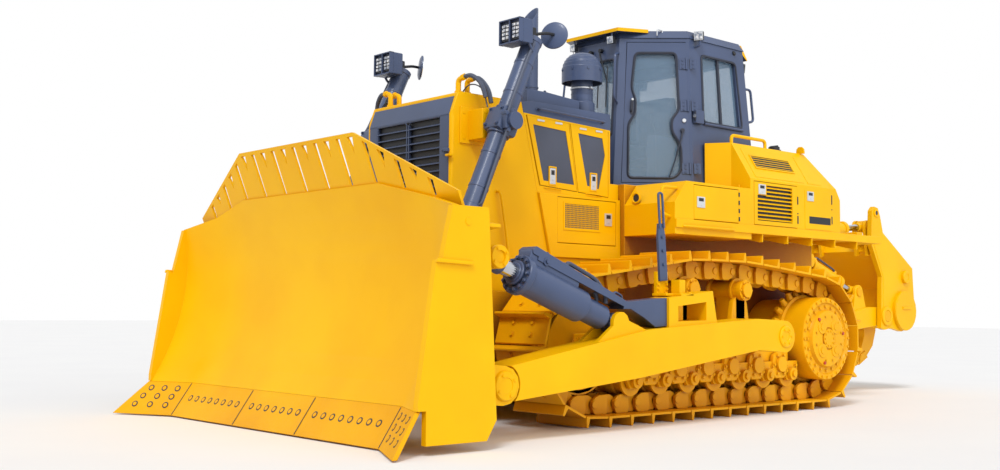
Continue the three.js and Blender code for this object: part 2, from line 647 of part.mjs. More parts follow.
function fender() {
  const inner = HULL_HALF + SEAT_GAP;
  const outer = FENDER_WIDTH / 2;
  const slopeFoot = outer - TANK_SLOPE;
  const shelf = block(
    [inner, PLATFORM_WIDTH / 2], [FENDER_FRONT, PLATFORM_REAR], [PLATFORM_FOOT, PLATFORM_TOP],
  );
  const box = alongX([
    [FENDER_FRONT, PLATFORM_FOOT - 60], [FENDER_FRONT, FENDER_CHAMFER.foot],
    [FENDER_FRONT + FENDER_CHAMFER.depth, DECK_Z],
    [TANK_FRONT + 10, DECK_Z], [TANK_FRONT + 10, PLATFORM_FOOT - 60],
  ], inner, outer);
  const rake = (x) => TANK_FRONT - (slopeFoot - x) * TANK_FRONT_RAKE;
  const tank = alongY([
    [inner, PLATFORM_FOOT + 10], [outer, PLATFORM_FOOT + 10], [outer, TANK_SHOULDER],
    [slopeFoot, TANK_TOP], [TANK_TOP_INNER, TANK_TOP], [TANK_TOP_INNER, DECK_Z], [inner, DECK_Z],
  ], rake(TANK_TOP_INNER - 10), TANK_REAR);
  const aheadOfTank = [
    [inner - 10, FENDER_FRONT], [outer + 10, FENDER_FRONT], [outer + 10, TANK_FRONT], [slopeFoot, TANK_FRONT],
    [inner - 10, rake(inner - 10)],
  ];
  const frontCut = taper(aheadOfTank, aheadOfTank, PLATFORM_FOOT, TANK_TOP + 10);
  const rearSlope = alongX([
    [TANK_TOP_REAR, TANK_TOP + 10], [TANK_TOP_REAR, TANK_TOP], [TANK_REAR, TANK_REAR_SHOULDER],
    [TANK_REAR + 20, TANK_REAR_SHOULDER], [TANK_REAR + 20, TANK_TOP + 10],
  ], inner - 10, outer + 10);
  return cut(join(shelf, box, cut(tank, frontCut, rearSlope)), pocket(FENDER_DOOR), pocket(TANK_DOOR));
}

function buildFenders() {
  pair('fender', fender(), YELLOW);
  pair('fender_door', doorLeaf(FENDER_DOOR, FENDER_WIDTH / 2, false), YELLOW);
  pair('tank_door', doorLeaf(TANK_DOOR, FENDER_WIDTH / 2, false), YELLOW);
}

// ---------------------------------------------------------------- cab
// Corners of the cab in plan, counter-clockwise from the front right, at the floor and at the roof.
const CAB_FLOOR_PLAN = [
  [-CAB_FRONT_WIDTH / 2, CAB_FRONT], [CAB_FRONT_WIDTH / 2, CAB_FRONT], [CAB_WIDTH / 2, CAB_PILLAR],
  [CAB_WIDTH / 2, CAB_REAR], [-CAB_WIDTH / 2, CAB_REAR], [-CAB_WIDTH / 2, CAB_PILLAR],
];
const CAB_ROOF_PLAN = [
  [-CAB_ROOF_FRONT_WIDTH / 2, CAB_ROOF_FRONT], [CAB_ROOF_FRONT_WIDTH / 2, CAB_ROOF_FRONT],
  [CAB_ROOF_WIDTH / 2, CAB_PILLAR], [CAB_ROOF_WIDTH / 2, CAB_ROOF_REAR],
  [-CAB_ROOF_WIDTH / 2, CAB_ROOF_REAR], [-CAB_ROOF_WIDTH / 2, CAB_PILLAR],
];
const CAB_WALL_FOOT = DECK_Z + SEAT_GAP + CAB_FLOOR_THICKNESS + SEAT_GAP;

// A plan at one height growing straight into another plan at a second height.
function taper(lower, upper, z0, z1) {
  const shape = bare(extruded(lower, z1 - z0, []));
  const position = shape.attributes.position;
  for (let i = 0; i < position.count; i++) {
    const x = position.getX(i);
    const y = position.getY(i);
    const isTop = position.getZ(i) > 1;
    const corner = lower.findIndex((point) => Math.hypot(point[0] - x, point[1] - y) < 1);
    const [toX, toY] = isTop ? upper[corner] : lower[corner];
    position.setXYZ(i, toX, toY, isTop ? z1 : z0);
  }
  return solid(shape);
}

const between = (a, b, share) => [
  THREE.MathUtils.lerp(a[0], b[0], share), THREE.MathUtils.lerp(a[1], b[1], share)];

function cabPlanAt(z) {
  const share = (z - CAB_WALL_FOOT) / (CAB_WALL_TOP - CAB_WALL_FOOT);
  return CAB_FLOOR_PLAN.map((corner, i) => between(corner, CAB_ROOF_PLAN[i], share));
}

// A straight-sided plug through one cab wall, between two margins in from its ends.
function wallPlug(wall, marginA, marginB, z0, z1, depth = 120) {
  const quad = (z) => {
    const plan = cabPlanAt(z);
    const [ax, ay] = plan[wall];
    const [bx, by] = plan[(wall + 1) % plan.length];
    const length = Math.hypot(bx - ax, by - ay);
    const [ux, uy] = [(bx - ax) / length, (by - ay) / length];
    const corner = (run, out) => [ax + ux * run + uy * out, ay + uy * run - ux * out];
    return [
      corner(marginA, depth), corner(length - marginB, depth),
      corner(length - marginB, -depth), corner(marginA, -depth),
    ];
  };
  return taper(quad(z0), quad(z1), z0, z1);
}

const WALL = { front: 0, leftDoor: 1, leftSide: 2, rear: 3, rightSide: 4, rightDoor: 5 };
const SIDE_WINDOW = { front: 190, rear: 170, foot: 2915, head: CAB_WALL_TOP - 150 };
const CAB_DOOR = { foot: CAB_WALL_FOOT + 20, head: CAB_WALL_TOP - 40, frontMargin: 75, rearMargin: 30 };

function cabWalls() {
  const outer = taper(CAB_FLOOR_PLAN, CAB_ROOF_PLAN, CAB_WALL_FOOT, CAB_WALL_TOP);
  const innerFloor = insetAll(CAB_FLOOR_PLAN, CAB_WALL);
  const innerRoof = insetAll(CAB_ROOF_PLAN, CAB_WALL);
  const rise = CAB_WALL_TOP - CAB_WALL_FOOT;
  const past = (from, to) => to.map((point, i) => between(from[i], point, 1 + 10 / rise));
  const inner = taper(
    past(innerRoof, innerFloor), past(innerFloor, innerRoof), CAB_WALL_FOOT - 10, CAB_WALL_TOP + 10,
  );
  return cut(outer, inner);
}

function doorPlug(clearance, hingeClearance) {
  const { foot, head, frontMargin, rearMargin } = CAB_DOOR;
  return wallPlug(WALL.leftDoor, frontMargin + clearance, rearMargin + hingeClearance,
    foot + clearance, head - clearance);
}

function cabShell() {
  const doorway = geometryOf(doorPlug(0, 0));
  return cut(
    cabWalls(), solid(doorway), solid(mirrored(doorway)),
    wallPlug(WALL.front, 60, 60, 2750, CAB_WALL_TOP - 210),
    wallPlug(WALL.leftSide, SIDE_WINDOW.front, SIDE_WINDOW.rear, SIDE_WINDOW.foot, SIDE_WINDOW.head),
    wallPlug(WALL.rightSide, SIDE_WINDOW.rear, SIDE_WINDOW.front, SIDE_WINDOW.foot, SIDE_WINDOW.head),
    wallPlug(WALL.rear, 110, 110, 2800, CAB_WALL_TOP - 130),
  );
}

function cabDoor() {
  const { foot, head } = CAB_DOOR;
  const leaf = cabWalls().intersect(doorPlug(DOOR_GAP, SEAT_GAP));
  return cut(leaf, wallPlug(WALL.leftDoor, 150, 110, foot + 130, head - 110));
}

function cabFloor() {
  const foot = DECK_Z + SEAT_GAP;
  const top = foot + CAB_FLOOR_THICKNESS;
  const plate = taper(CAB_FLOOR_PLAN, CAB_FLOOR_PLAN, foot, top);
  const sideConsole = [[280, 400], [100, 750], [top - 10, top + 560]];
  const dashTop = top + 700;
  const dashFront = cabPlanAt(dashTop)[WALL.front][1] + CAB_WALL + 31;
  const dash = block([-240, 240], [dashFront, dashFront + 140], [top - 10, dashTop]);
  return join(plate, block(...sideConsole), block([-400, -280], ...sideConsole.slice(1)), dash);
}

function cabRoof() {
  const foot = CAB_WALL_TOP + SEAT_GAP;
  const top = foot + ROOF_THICKNESS;
  const panel = taper(insetAll(CAB_ROOF_PLAN, -12), insetAll(CAB_ROOF_PLAN, 28), foot, top);
  const visorReach = 85;
  const visorHalf = CAB_ROOF_FRONT_WIDTH / 2 + 55;
  const visorBack = 215;
  const visorPlan = (grow) => [
    [-visorHalf, CAB_ROOF_FRONT - visorReach], [visorHalf, CAB_ROOF_FRONT - visorReach],
    [visorHalf + visorBack - grow, CAB_ROOF_FRONT + visorBack],
    [-visorHalf - visorBack + grow, CAB_ROOF_FRONT + visorBack],
  ];
  const front = taper(visorPlan(70), visorPlan(70), top - 26, top + 10);
  const rear = alongX([
    [CAB_ROOF_REAR - 120, top - 10], [CAB_ROOF_REAR - 120, top + 2], [CAB_ROOF_REAR + 60, top + 2],
    [CAB_ROOF_REAR + 170, foot - 60], [CAB_ROOF_REAR + 160, foot - 70], [CAB_ROOF_REAR + 40, foot + 20],
  ], -CAB_ROOF_WIDTH / 2 + 60, CAB_ROOF_WIDTH / 2 - 60);
  return join(panel, front, rear);
}

function seat() {
  const foot = DECK_Z + 2 * SEAT_GAP + CAB_FLOOR_THICKNESS;
  const profile = [
    [180, foot], [180, foot + 260], [120, foot + 330], [110, foot + 430], [150, foot + 470],
    [560, foot + 440], [620, foot + 1050], [690, foot + 1120], [750, foot + 1100], [720, foot + 330],
    [600, foot + 270], [600, foot],
  ];
  return alongX(profile, -250, 250);
}

function buildCab() {
  piece('cab_floor', cabFloor(), SLATE);
  piece('cab_shell', cabShell(), SLATE);
  piece('cab_roof', cabRoof(), SLATE);
  pair('cab_door', cabDoor(), SLATE);
  piece('seat', seat(), FABRIC);
}

// ---------------------------------------------------------------- blade and its arms
function topZ(x) {
  const share = (Math.abs(x) - BLADE_TOP_HALF) / (BLADE_HALF - BLADE_TOP_HALF);
  return THREE.MathUtils.lerp(BLADE_TOP, BLADE_SHOULDER, Math.max(0, share));
}

// Front face of the mouldboard: a circular hollow, folded forward outside the middle section.
function mouldY(x, z) {
  const rise = (z - MOULD_FOOT.z) / (BLADE_TOP - MOULD_FOOT.z);
  const chord = BLADE_TOP - MOULD_FOOT.z;
  const radius = (chord * chord / 4 + MOULD_HOLLOW * MOULD_HOLLOW) / (2 * MOULD_HOLLOW);
  const fromMiddle = (rise - 0.5) * chord;
  const hollow = Math.sqrt(radius * radius - fromMiddle * fromMiddle) - (radius - MOULD_HOLLOW);
  const straight = THREE.MathUtils.lerp(MOULD_FOOT.y, MOULD_HEAD_Y, rise) + hollow;
  const spread = THREE.MathUtils.lerp(WING_RUN_FOOT, WING_RUN_HEAD, rise);
  const wing = Math.max(0, Math.abs(x) - BLADE_FOLD) * spread;
  return straight - wing;
}

const BLADE_STATIONS = [
  -(BLADE_HALF - SIDE_PLATE / 2), -BLADE_FOLD, -BLADE_TOP_HALF, BLADE_TOP_HALF, BLADE_FOLD,
  BLADE_HALF - SIDE_PLATE / 2,
];

// A box whose grid is laid over the blade: stations across, share of the height up, depth front to back.
function bladeSheet(stations, rows, place3d) {
  const columns = stations.length - 1;
  const sheet = new THREE.BoxGeometry(columns, 1, 1, columns, 1, rows);
  const position = sheet.attributes.position;
  for (let i = 0; i < position.count; i++) {
    const x = stations[Math.round(position.getX(i) + columns / 2)];
    const isBack = position.getY(i) > 0;
    position.setXYZ(i, ...place3d(x, position.getZ(i) + 0.5, isBack));
  }
  return solid(sheet);
}

function mouldboard() {
  return bladeSheet(BLADE_STATIONS, 10, (x, up, isBack) => {
    const z = THREE.MathUtils.lerp(MOULD_FOOT.z, topZ(x), up);
    return [x, mouldY(x, z) + (isBack ? MOULD_THICKNESS : 0), z];
  });
}

function sidePlate() {
  const x = BLADE_HALF - SIDE_PLATE;
  return alongX([
    [mouldY(x, MOULD_FOOT.z) + 60, MOULD_FOOT.z - 230], [mouldY(x, MOULD_FOOT.z) + 60, MOULD_FOOT.z + 3],
    [mouldY(x, MOULD_FOOT.z) - 10, MOULD_FOOT.z + 3], [mouldY(x, MOULD_FOOT.z) - 10, MOULD_FOOT.z + 60],
    [mouldY(x, 1324) - 190, 1324], [mouldY(x, 1324) - 145, 1300],
    [mouldY(x, BLADE_SHOULDER) - 20, BLADE_SHOULDER],
    [mouldY(x, BLADE_SHOULDER) + 310, BLADE_SHOULDER], [mouldY(x, MOULD_FOOT.z) + 690, MOULD_FOOT.z - 90],
    [mouldY(x, MOULD_FOOT.z) + 600, MOULD_FOOT.z - 230],
  ], x, BLADE_HALF);
}

const TILT_EARS = [-1, 1].map((side) => {
  const near = ARM_X + side * (TILT_EYE_HALF + TILT_EAR_GAP);
  return [near, near + side * TILT_EAR].sort((a, b) => a - b);
});

const bladeSkin = (x, z) => mouldY(x, z) + MOULD_THICKNESS / 2;

function bladeBack() {
  const back = -3480;
  const beamHalf = BLADE_FOLD - 20;
  const low = [MOULD_FOOT.z + 30, 640];
  const high = [1380, 1660];
  const beam = ([z0, z1], half) => alongX([
    [bladeSkin(0, z0), z0], [back, z0 - 60], [back, z1 - 60], [bladeSkin(0, z1), z1],
  ], -half, half);
  const ribs = [360, LIFT_X - 110, LIFT_X + 80, 1500].map((x) => alongX([
    [bladeSkin(0, 500), 500], [back, 500], [back, 1500], [bladeSkin(0, 1500), 1500],
    [bladeSkin(0, 1100), 1100], [bladeSkin(0, 800), 800],
  ], x, x + 40));
  return join(beam(low, beamHalf), beam(high, beamHalf), bothSides(join(...ribs)));
}

function bladeEars() {
  const inner = [ARM_INNER, ARM_INNER + EAR_THICKNESS];
  const outer = [ARM_OUTER - EAR_THICKNESS, ARM_OUTER];
  const earFoot = MOULD_FOOT.z + 40;
  const earHead = 640;
  const armEar = ([x0, x1]) => eyePlate(
    ARM_PIN, EAR_RADIUS, [bladeSkin(x0, earFoot), earFoot], [bladeSkin(x0, earHead), earHead], x0, x1);
  const tiltEar = ([x0, x1]) =>
    eyePlate(TILT_EYE, 90, [bladeSkin(x0, 1250), 1250], [bladeSkin(x0, 1500), 1500], x0, x1);
  const liftEar = ([x0, x1]) => eyePlate(LIFT_EYE, 90, [-3490, 560], [-3490, 940], x0, x1);
  const eyeHalf = 50;
  return join(
    armEar(inner), armEar(outer), pinX(ARM_PIN, ARM_PIN.radius, inner[0], outer[1] + 20),
    pinX(ARM_PIN, 95, outer[1] - 5, outer[1] + 20),
    ...TILT_EARS.map(tiltEar),
    liftEar([LIFT_X - eyeHalf - 60, LIFT_X - eyeHalf - 15]),
    liftEar([LIFT_X + eyeHalf + 15, LIFT_X + eyeHalf + 60]),
  );
}

function spillGuard() {
  const lean = (z) => mouldY(0, BLADE_TOP) + (BLADE_TOP - z) * SPILL_LEAN;
  const end = BLADE_FOLD + 330;
  const crestZ = (x) => {
    const share = Math.max(0, (Math.abs(x) - SPILL_TOP_HALF) / (end - SPILL_TOP_HALF));
    return THREE.MathUtils.lerp(SPILL_TOP, topZ(end) + 90, share);
  };
  const folds = [BLADE_FOLD, BLADE_TOP_HALF, SPILL_TOP_HALF];
  const xs = [-end, ...folds.map((x) => -x), ...folds.toReversed(), end];
  const sheet = bladeSheet(xs, 1, (x, up, isBack) => {
    const z = THREE.MathUtils.lerp(topZ(x) - 30, crestZ(x), up);
    return [x, lean(z) + 20 + (isBack ? SPILL_THICKNESS : 0), z];
  });
  const openings = [];
  const through = [MOULD_HEAD_Y - 500, MOULD_HEAD_Y + 300];
  for (let n = -5; n <= 5; n++) {
    const x = n * SPILL_PITCH;
    const head = (at) => crestZ(at) - SPILL_RAIL;
    openings.push(alongY([
      [x - 22, topZ(x) + 12], [x + 22, topZ(x) + 12], [x + 27, head(x + 27)], [x - 27, head(x - 27)],
    ], ...through));
    const notch = x + SPILL_PITCH / 2;
    const depth = Math.min(130, (head(notch) - topZ(notch)) / 2);
    if (n < 5) {
      openings.push(alongY([
        [notch, head(notch) - depth], [notch + 37, head(notch + 37)], [notch - 37, head(notch - 37)],
      ], ...through));
    }
  }
  return cut(sheet, ...openings);
}

function blade() {
  const left = join(sidePlate(), bladeEars());
  return join(mouldboard(), bladeBack(), left, solid(mirrored(geometryOf(left))), spillGuard());
}

function cuttingEdge() {
  const tipY = (x) => {
    const share = Math.max(0, (Math.abs(x) - BLADE_FOLD) / (END_BIT_HALF - BLADE_FOLD));
    return THREE.MathUtils.lerp(EDGE_TIP.y, END_BIT_TIP, share);
  };
  const headY = (x) => MOULD_FOOT.y - Math.max(0, Math.abs(x) - BLADE_FOLD) * WING_RUN_FOOT;
  const xs = [-END_BIT_HALF, -BLADE_FOLD, BLADE_FOLD, END_BIT_HALF];
  return bladeSheet(xs, 1, (x, up, isBack) => {
    const isEnd = Math.abs(x) > BLADE_FOLD + 1;
    const narrow = isEnd && up > 0.5 ? x * (BLADE_HALF - 20) / END_BIT_HALF : x;
    const y = up > 0.5 ? headY(narrow) : tipY(x);
    const z = up > 0.5 ? MOULD_FOOT.z - SEAT_GAP : EDGE_TIP.z;
    return [narrow, y + (isBack ? EDGE_THICKNESS : 0), z];
  });
}

const pointOn = (from, to, run) => {
  const length = Math.hypot(to.y - from.y, to.z - from.z);
  const share = run / length;
  return { y: THREE.MathUtils.lerp(from.y, to.y, share), z: THREE.MathUtils.lerp(from.z, to.z, share) };
};

const barYZ = (x, from, to, radius, facetTurn = 0) =>
  bar([x, from.y, from.z], [x, to.y, to.z], radius, radius, PIN_SIDES, facetTurn);

const tiltAt = (run) => pointOn(TILT_PIN, TILT_EYE, run);

// The arm's front end is narrowed to a tongue between the blade's ears.
function pushArm() {
  const profile = [
    ...arc(ARM_PIN, ARM_TONGUE_RADIUS, 100, 260, 8), [-1760, 440], [-130, 640],
    ...arc(TRUNNION, ARM_END_RADIUS, -80, 95, 8), [-150, 925], [-1650, 832], [-2330, 720],
  ];
  const waist = EAR_THICKNESS + EAR_CLEARANCE;
  const shoulder = (x0, x1) => pinX(ARM_PIN, EAR_RADIUS + EAR_CLEARANCE, x0, x1, 32);
  const pinBore = boreX(ARM_PIN, ARM_PIN.radius, ARM_INNER - 10, ARM_OUTER + 10);
  const trunnionBore = boreX(TRUNNION, TRUNNION.radius, ARM_INNER - 10, ARM_OUTER - 50);
  const beam = cut(
    alongX(profile, ARM_INNER, ARM_OUTER), pinBore, trunnionBore,
    shoulder(ARM_INNER - 10, ARM_INNER + waist), shoulder(ARM_OUTER - waist, ARM_OUTER + 10),
  );
  const lugs = TILT_EARS.map(([x0, x1]) => eyePlate(TILT_PIN, 95, [-2280, 700], [-1560, 800], x0, x1));
  const pin = pinX(TILT_PIN, 50, TILT_EARS[0][0], TILT_EARS[1][1]);
  const bracket = alongX([[-1350, 820], [-1350, 1100], [-760, 1168], [-700, 880]], ARM_X - 110, ARM_X + 110,
    [[[-1230, 900], [-1230, 1030], [-850, 1070], [-850, 910]]]);
  return join(beam, ...lugs, pin, bracket);
}

function armGuard() {
  const rear = -1350 - SEAT_GAP;
  const outline = [
    [-2900, 1330], [-2910, 1450], [-2870, 1475], [-1840, 1062], [rear, 1100], [rear, 860], [-1500, 850],
    [-1640, 930], [-1800, 1000], [-2080, 1000],
  ];
  const clearOf = (start, end, radius) => barYZ(ARM_X, tiltAt(start), tiltAt(end), radius + GUARD_CLEARANCE);
  return cut(alongX(outline, ARM_X - 85, ARM_X + 85),
    clearOf(TILT_BARREL_START - 150, TILT_BARREL_END + 100, TILT_BARREL_RADIUS),
    clearOf(TILT_BARREL_END - 100, TILT_BARREL_END + 40, TILT_BARREL_RADIUS + TILT_FLANGE));
}

// Barrel of a cylinder that starts at one pin and points at another: outer steps are [radius, run]
// pairs from the pin end to the gland, and the bore takes the rod.
function barrel({ x, from, to, steps, rodRadius, eyeRadius, eyeHalf, pinRadius }) {
  const [start, end] = [steps[0][1], steps[steps.length - 1][1]];
  const inner = boreFor(rodRadius);
  const floor = start + 50;
  const tube = turned([[0, start], ...steps, [inner, end], [inner, floor], [0, floor]],
    [x, from.y, from.z], [x, to.y, to.z]);
  const eye = pinX(from, eyeRadius, x - eyeHalf, x + eyeHalf);
  const neck = barYZ(x, from, pointOn(from, to, start + 10), Math.min(eyeRadius, eyeHalf) * 0.9);
  return cut(join(eye, tube, neck), boreX(from, pinRadius, x - eyeHalf - 10, x + eyeHalf + 10));
}

function rodWithEye({ x, from, to, start, radius, eyeRadius, eyeHalf }) {
  return join(
    barYZ(x, pointOn(from, to, start), to, radius, HALF_FACET),
    pinX(to, eyeRadius, x - eyeHalf, x + eyeHalf),
  );
}

function tiltBarrel() {
  const radius = TILT_BARREL_RADIUS;
  const flangeStart = TILT_BARREL_END - 60;
  return barrel({
    x: ARM_X, from: TILT_PIN, to: TILT_EYE, rodRadius: TILT_ROD_RADIUS, eyeRadius: 85, eyeHalf: TILT_EYE_HALF,
    pinRadius: 50,
    steps: [
      [radius - 32, TILT_BARREL_START], [radius - 30, 380], [radius, 420], [radius, flangeStart],
      [radius + TILT_FLANGE, flangeStart], [radius + TILT_FLANGE, TILT_BARREL_END],
    ],
  });
}

function tiltRod() {
  return rodWithEye({
    x: ARM_X, from: TILT_PIN, to: TILT_EYE, start: 420, radius: TILT_ROD_RADIUS, eyeRadius: 80,
    eyeHalf: TILT_EYE_HALF,
  });
}

const liftAt = (run) => pointOn(LIFT_YOKE, LIFT_EYE, run);

function liftBarrel() {
  const radius = LIFT_BARREL_RADIUS;
  const collarHalf = radius + 28;
  const inner = boreFor(LIFT_ROD_RADIUS);
  const top = -LIFT_ABOVE;
  const tube = turned([
    [0, top], [radius, top], [radius, -110], [radius + 22, -110], [radius + 22, 110], [radius, 110],
    [radius, LIFT_BELOW], [inner, LIFT_BELOW], [inner, top + 60], [0, top + 60],
  ], [LIFT_X, LIFT_YOKE.y, LIFT_YOKE.z], [LIFT_X, LIFT_EYE.y, LIFT_EYE.z]);
  const trunnions = join(
    pinX(LIFT_YOKE, 75, LIFT_X - collarHalf, LIFT_X - radius + 10),
    pinX(LIFT_YOKE, 75, LIFT_X + radius - 10, LIFT_X + collarHalf + 70),
  );
  const pinBore = boreX(LIFT_YOKE, 40, LIFT_X - collarHalf - 10, LIFT_X - radius - 4);
  const lamps = block([LIFT_X - 150, LIFT_X + 120], [-2420, -2260], [3270, 3485]);
  const boreTop = barYZ(LIFT_X, liftAt(top + 60), liftAt(0), inner - 1);
  return cut(join(tube, trunnions, lamps), pinBore, boreTop);
}

function liftRod() {
  const reach = Math.hypot(LIFT_EYE.y - LIFT_YOKE.y, LIFT_EYE.z - LIFT_YOKE.z);
  return rodWithEye({
    x: LIFT_X, from: LIFT_YOKE, to: LIFT_EYE, start: reach - LIFT_ROD_LENGTH, radius: LIFT_ROD_RADIUS,
    eyeRadius: 80, eyeHalf: 50,
  });
}

function buildBlade() {
  piece('blade', blade(), YELLOW);
  piece('cutting_edge', cuttingEdge(), YELLOW);
  pair('push_arm', pushArm(), YELLOW);
  pair('arm_guard', armGuard(), SLATE);
  pair('tilt_barrel', tiltBarrel(), SLATE);
  pair('tilt_rod', tiltRod(), STEEL);
  pair('lift_barrel', liftBarrel(), SLATE);
  pair('lift_rod', liftRod(), STEEL);
}

// ---------------------------------------------------------------- ripper
const CYLINDER_EARS = [
  [RIPPER_CYLINDER_X - RIPPER_EYE_WIDTH / 2 - 50, RIPPER_CYLINDER_X - RIPPER_EYE_WIDTH / 2 - 10],
  [RIPPER_CYLINDER_X + RIPPER_EYE_WIDTH / 2 + 10, RIPPER_CYLINDER_X + RIPPER_EYE_WIDTH / 2 + 50],
];

function bothSides(body) {
  return join(body, solid(mirrored(geometryOf(body))));
}

function ripperBracket() {
  const front = HULL_REAR + SEAT_GAP;
  const wall = front + 110;
  const base = block([-560, 560], [front, wall], [600, 2120]);
  const ears = (eye, half) => CYLINDER_EARS.map(([x0, x1]) =>
    eyePlate(eye, 85, [wall - 10, eye.z + half], [wall - 10, eye.z - half], x0, x1));
  const pin = (eye) => pinX(eye, RIPPER_PIN_RADIUS, CYLINDER_EARS[0][0], CYLINDER_EARS[1][1]);
  const linkSpans = [[LINK_OUTER - LINK_ARM - 60, LINK_OUTER - LINK_ARM - 5], [LINK_OUTER + 5, LINK_OUTER + 60]];
  const linkEars = linkSpans.map(
    ([x0, x1]) => eyePlate(RIPPER.linkFront, 110, [wall - 10, 1050], [wall - 10, 620], x0, x1));
  const left = join(
    ...ears(RIPPER_TOP_FRONT, 130), pin(RIPPER_TOP_FRONT),
    ...ears(RIPPER.liftFront, 130), pin(RIPPER.liftFront),
    ...linkEars, pinX(RIPPER.linkFront, 55, LINK_OUTER - LINK_ARM - 60, LINK_OUTER + 60),
  );
  return join(base, bothSides(left));
}

function ripperLink() {
  const { linkFront, linkRear, liftRear } = RIPPER;
  const armInner = LINK_OUTER - LINK_ARM;
  const arm = alongX([
    ...arc(linkFront, 100, 100, 260, 8), ...arc(linkRear, 110, -80, 90, 8),
    [linkRear.y - 300, linkRear.z + 110], [linkFront.y + 200, linkFront.z + 100],
  ], armInner, LINK_OUTER);
  const lugs = CYLINDER_EARS.map(([x0, x1]) =>
    eyePlate(liftRear, 90, [liftRear.y - 150, linkRear.z - 60], [liftRear.y + 200, linkRear.z - 60], x0, x1));
  const left = join(
    cut(arm, boreX(linkFront, 55, 0, BEAM_OUTER), boreX(linkRear, SHAFT_RADIUS, 0, BEAM_OUTER)),
    ...lugs,
  );
  const web = alongX([
    [linkFront.y + 450, 800], [linkRear.y - 190, 850], [linkRear.y - 190, 950], [linkFront.y + 450, 900],
  ], -LINK_OUTER + 10, LINK_OUTER - 10);
  return join(bothSides(left), web);
}

function ripperBeam() {
  const { linkRear, topRear } = RIPPER;
  const inner = BEAM_OUTER - BEAM_PLATE;
  const outline = [
    [4220, 800], [4240, 1350], [4255, 1440], [4020, 1850], [4050, 2260], [4110, 2315], [4190, 2300],
    [4240, 2200], [4300, 1995], [RIPPER_REAR - 40, 1566], [RIPPER_REAR, 1000], [4920, 820],
    [4710, 757], [4450, 800], [4300, 780],
  ];
  const plate = cut(alongX(outline, inner, BEAM_OUTER), boreX(linkRear, SHAFT_RADIUS, 0, BEAM_OUTER + 10));
  const hub = pinX({ y: 4750, z: 1020 }, 250, BEAM_OUTER - 5, BEAM_OUTER + 45);
  const boss = pinX({ y: 4800, z: 1450 }, 75, BEAM_OUTER - 5, BEAM_OUTER + 35);
  const ears = CYLINDER_EARS.map(([x0, x1]) => eyePlate(topRear, 80, [4280, 1800], [4100, 1700], x0, x1));
  const core = alongX([
    [4520, 860], [4520, 1300], [4300, 1640], [4130, 1760], [4290, 1960], [RIPPER_REAR - 60, 1540],
    [RIPPER_REAR - 30, 1010], [4900, 850], [4700, 790],
  ], -inner - 5, inner + 5);
  const hold = SHANK_THICKNESS / 2 + SEAT_GAP;
  const slot = block([-hold, hold], [4600 - SEAT_GAP, 4880 + SEAT_GAP],
    [700, 2100]);
  return cut(join(core, bothSides(join(plate, hub, boss, ...ears))), slot);
}

function ripperShank() {
  return alongX([
    [4600, 1640], [4600, 700], [4500, 480], [4300, 330], [4310, 290], [4460, 330], [4640, 420], [4800, 560],
    [4880, 760], [4880, 1600],
  ], -SHANK_THICKNESS / 2, SHANK_THICKNESS / 2);
}

function ripperCylinder(from, to, barrelEnd, rodStart) {
  const shared = { x: RIPPER_CYLINDER_X, from, to, eyeRadius: 75, eyeHalf: RIPPER_EYE_WIDTH / 2 };
  return {
    barrel: barrel({ ...shared, rodRadius: RIPPER_ROD_RADIUS, pinRadius: RIPPER_PIN_RADIUS,
      steps: [[RIPPER_BARREL_RADIUS, 120], [RIPPER_BARREL_RADIUS, barrelEnd]] }),
    rod: rodWithEye({ ...shared, start: rodStart, radius: RIPPER_ROD_RADIUS }),
  };
}

function buildRipper() {
  const shaft = { at: RIPPER.linkRear, half: BEAM_OUTER + 20 };
  const tilt = ripperCylinder(RIPPER_TOP_FRONT, RIPPER.topRear, 980, 400);
  const lift = ripperCylinder(RIPPER.liftFront, RIPPER.liftRear, 760, 200);
  piece('ripper_bracket', ripperBracket(), YELLOW);
  piece('ripper_link', ripperLink(), YELLOW);
  piece('ripper_cross_shaft', pinX(shaft.at, SHAFT_RADIUS, -shaft.half, shaft.half), YELLOW);
  piece('ripper_beam', ripperBeam(), YELLOW);
  piece('ripper_shank', ripperShank(), YELLOW);
  pair('ripper_tilt_barrel', tilt.barrel, YELLOW);
  pair('ripper_tilt_rod', tilt.rod, SLATE);
  pair('ripper_lift_barrel', lift.barrel, YELLOW);
  pair('ripper_lift_rod', lift.rod, SLATE);
}

buildUndercarriage();
buildBody();
buildFenders();
buildCab();
buildBlade();
buildRipper();

machine.position.y = -(END_BIT_TIP + RIPPER_REAR) / 2;
export default machine;
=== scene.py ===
# Looks of a large track-type bulldozer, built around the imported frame. Metres, +Z up, blade towards -Y.
# Stations along Y are counted from the datum between the tracks and moved into the frame by DATUM.
import json
import math
import bmesh
import bpy
from mathutils import Matrix, Vector
from mathutils.bvhtree import BVHTree

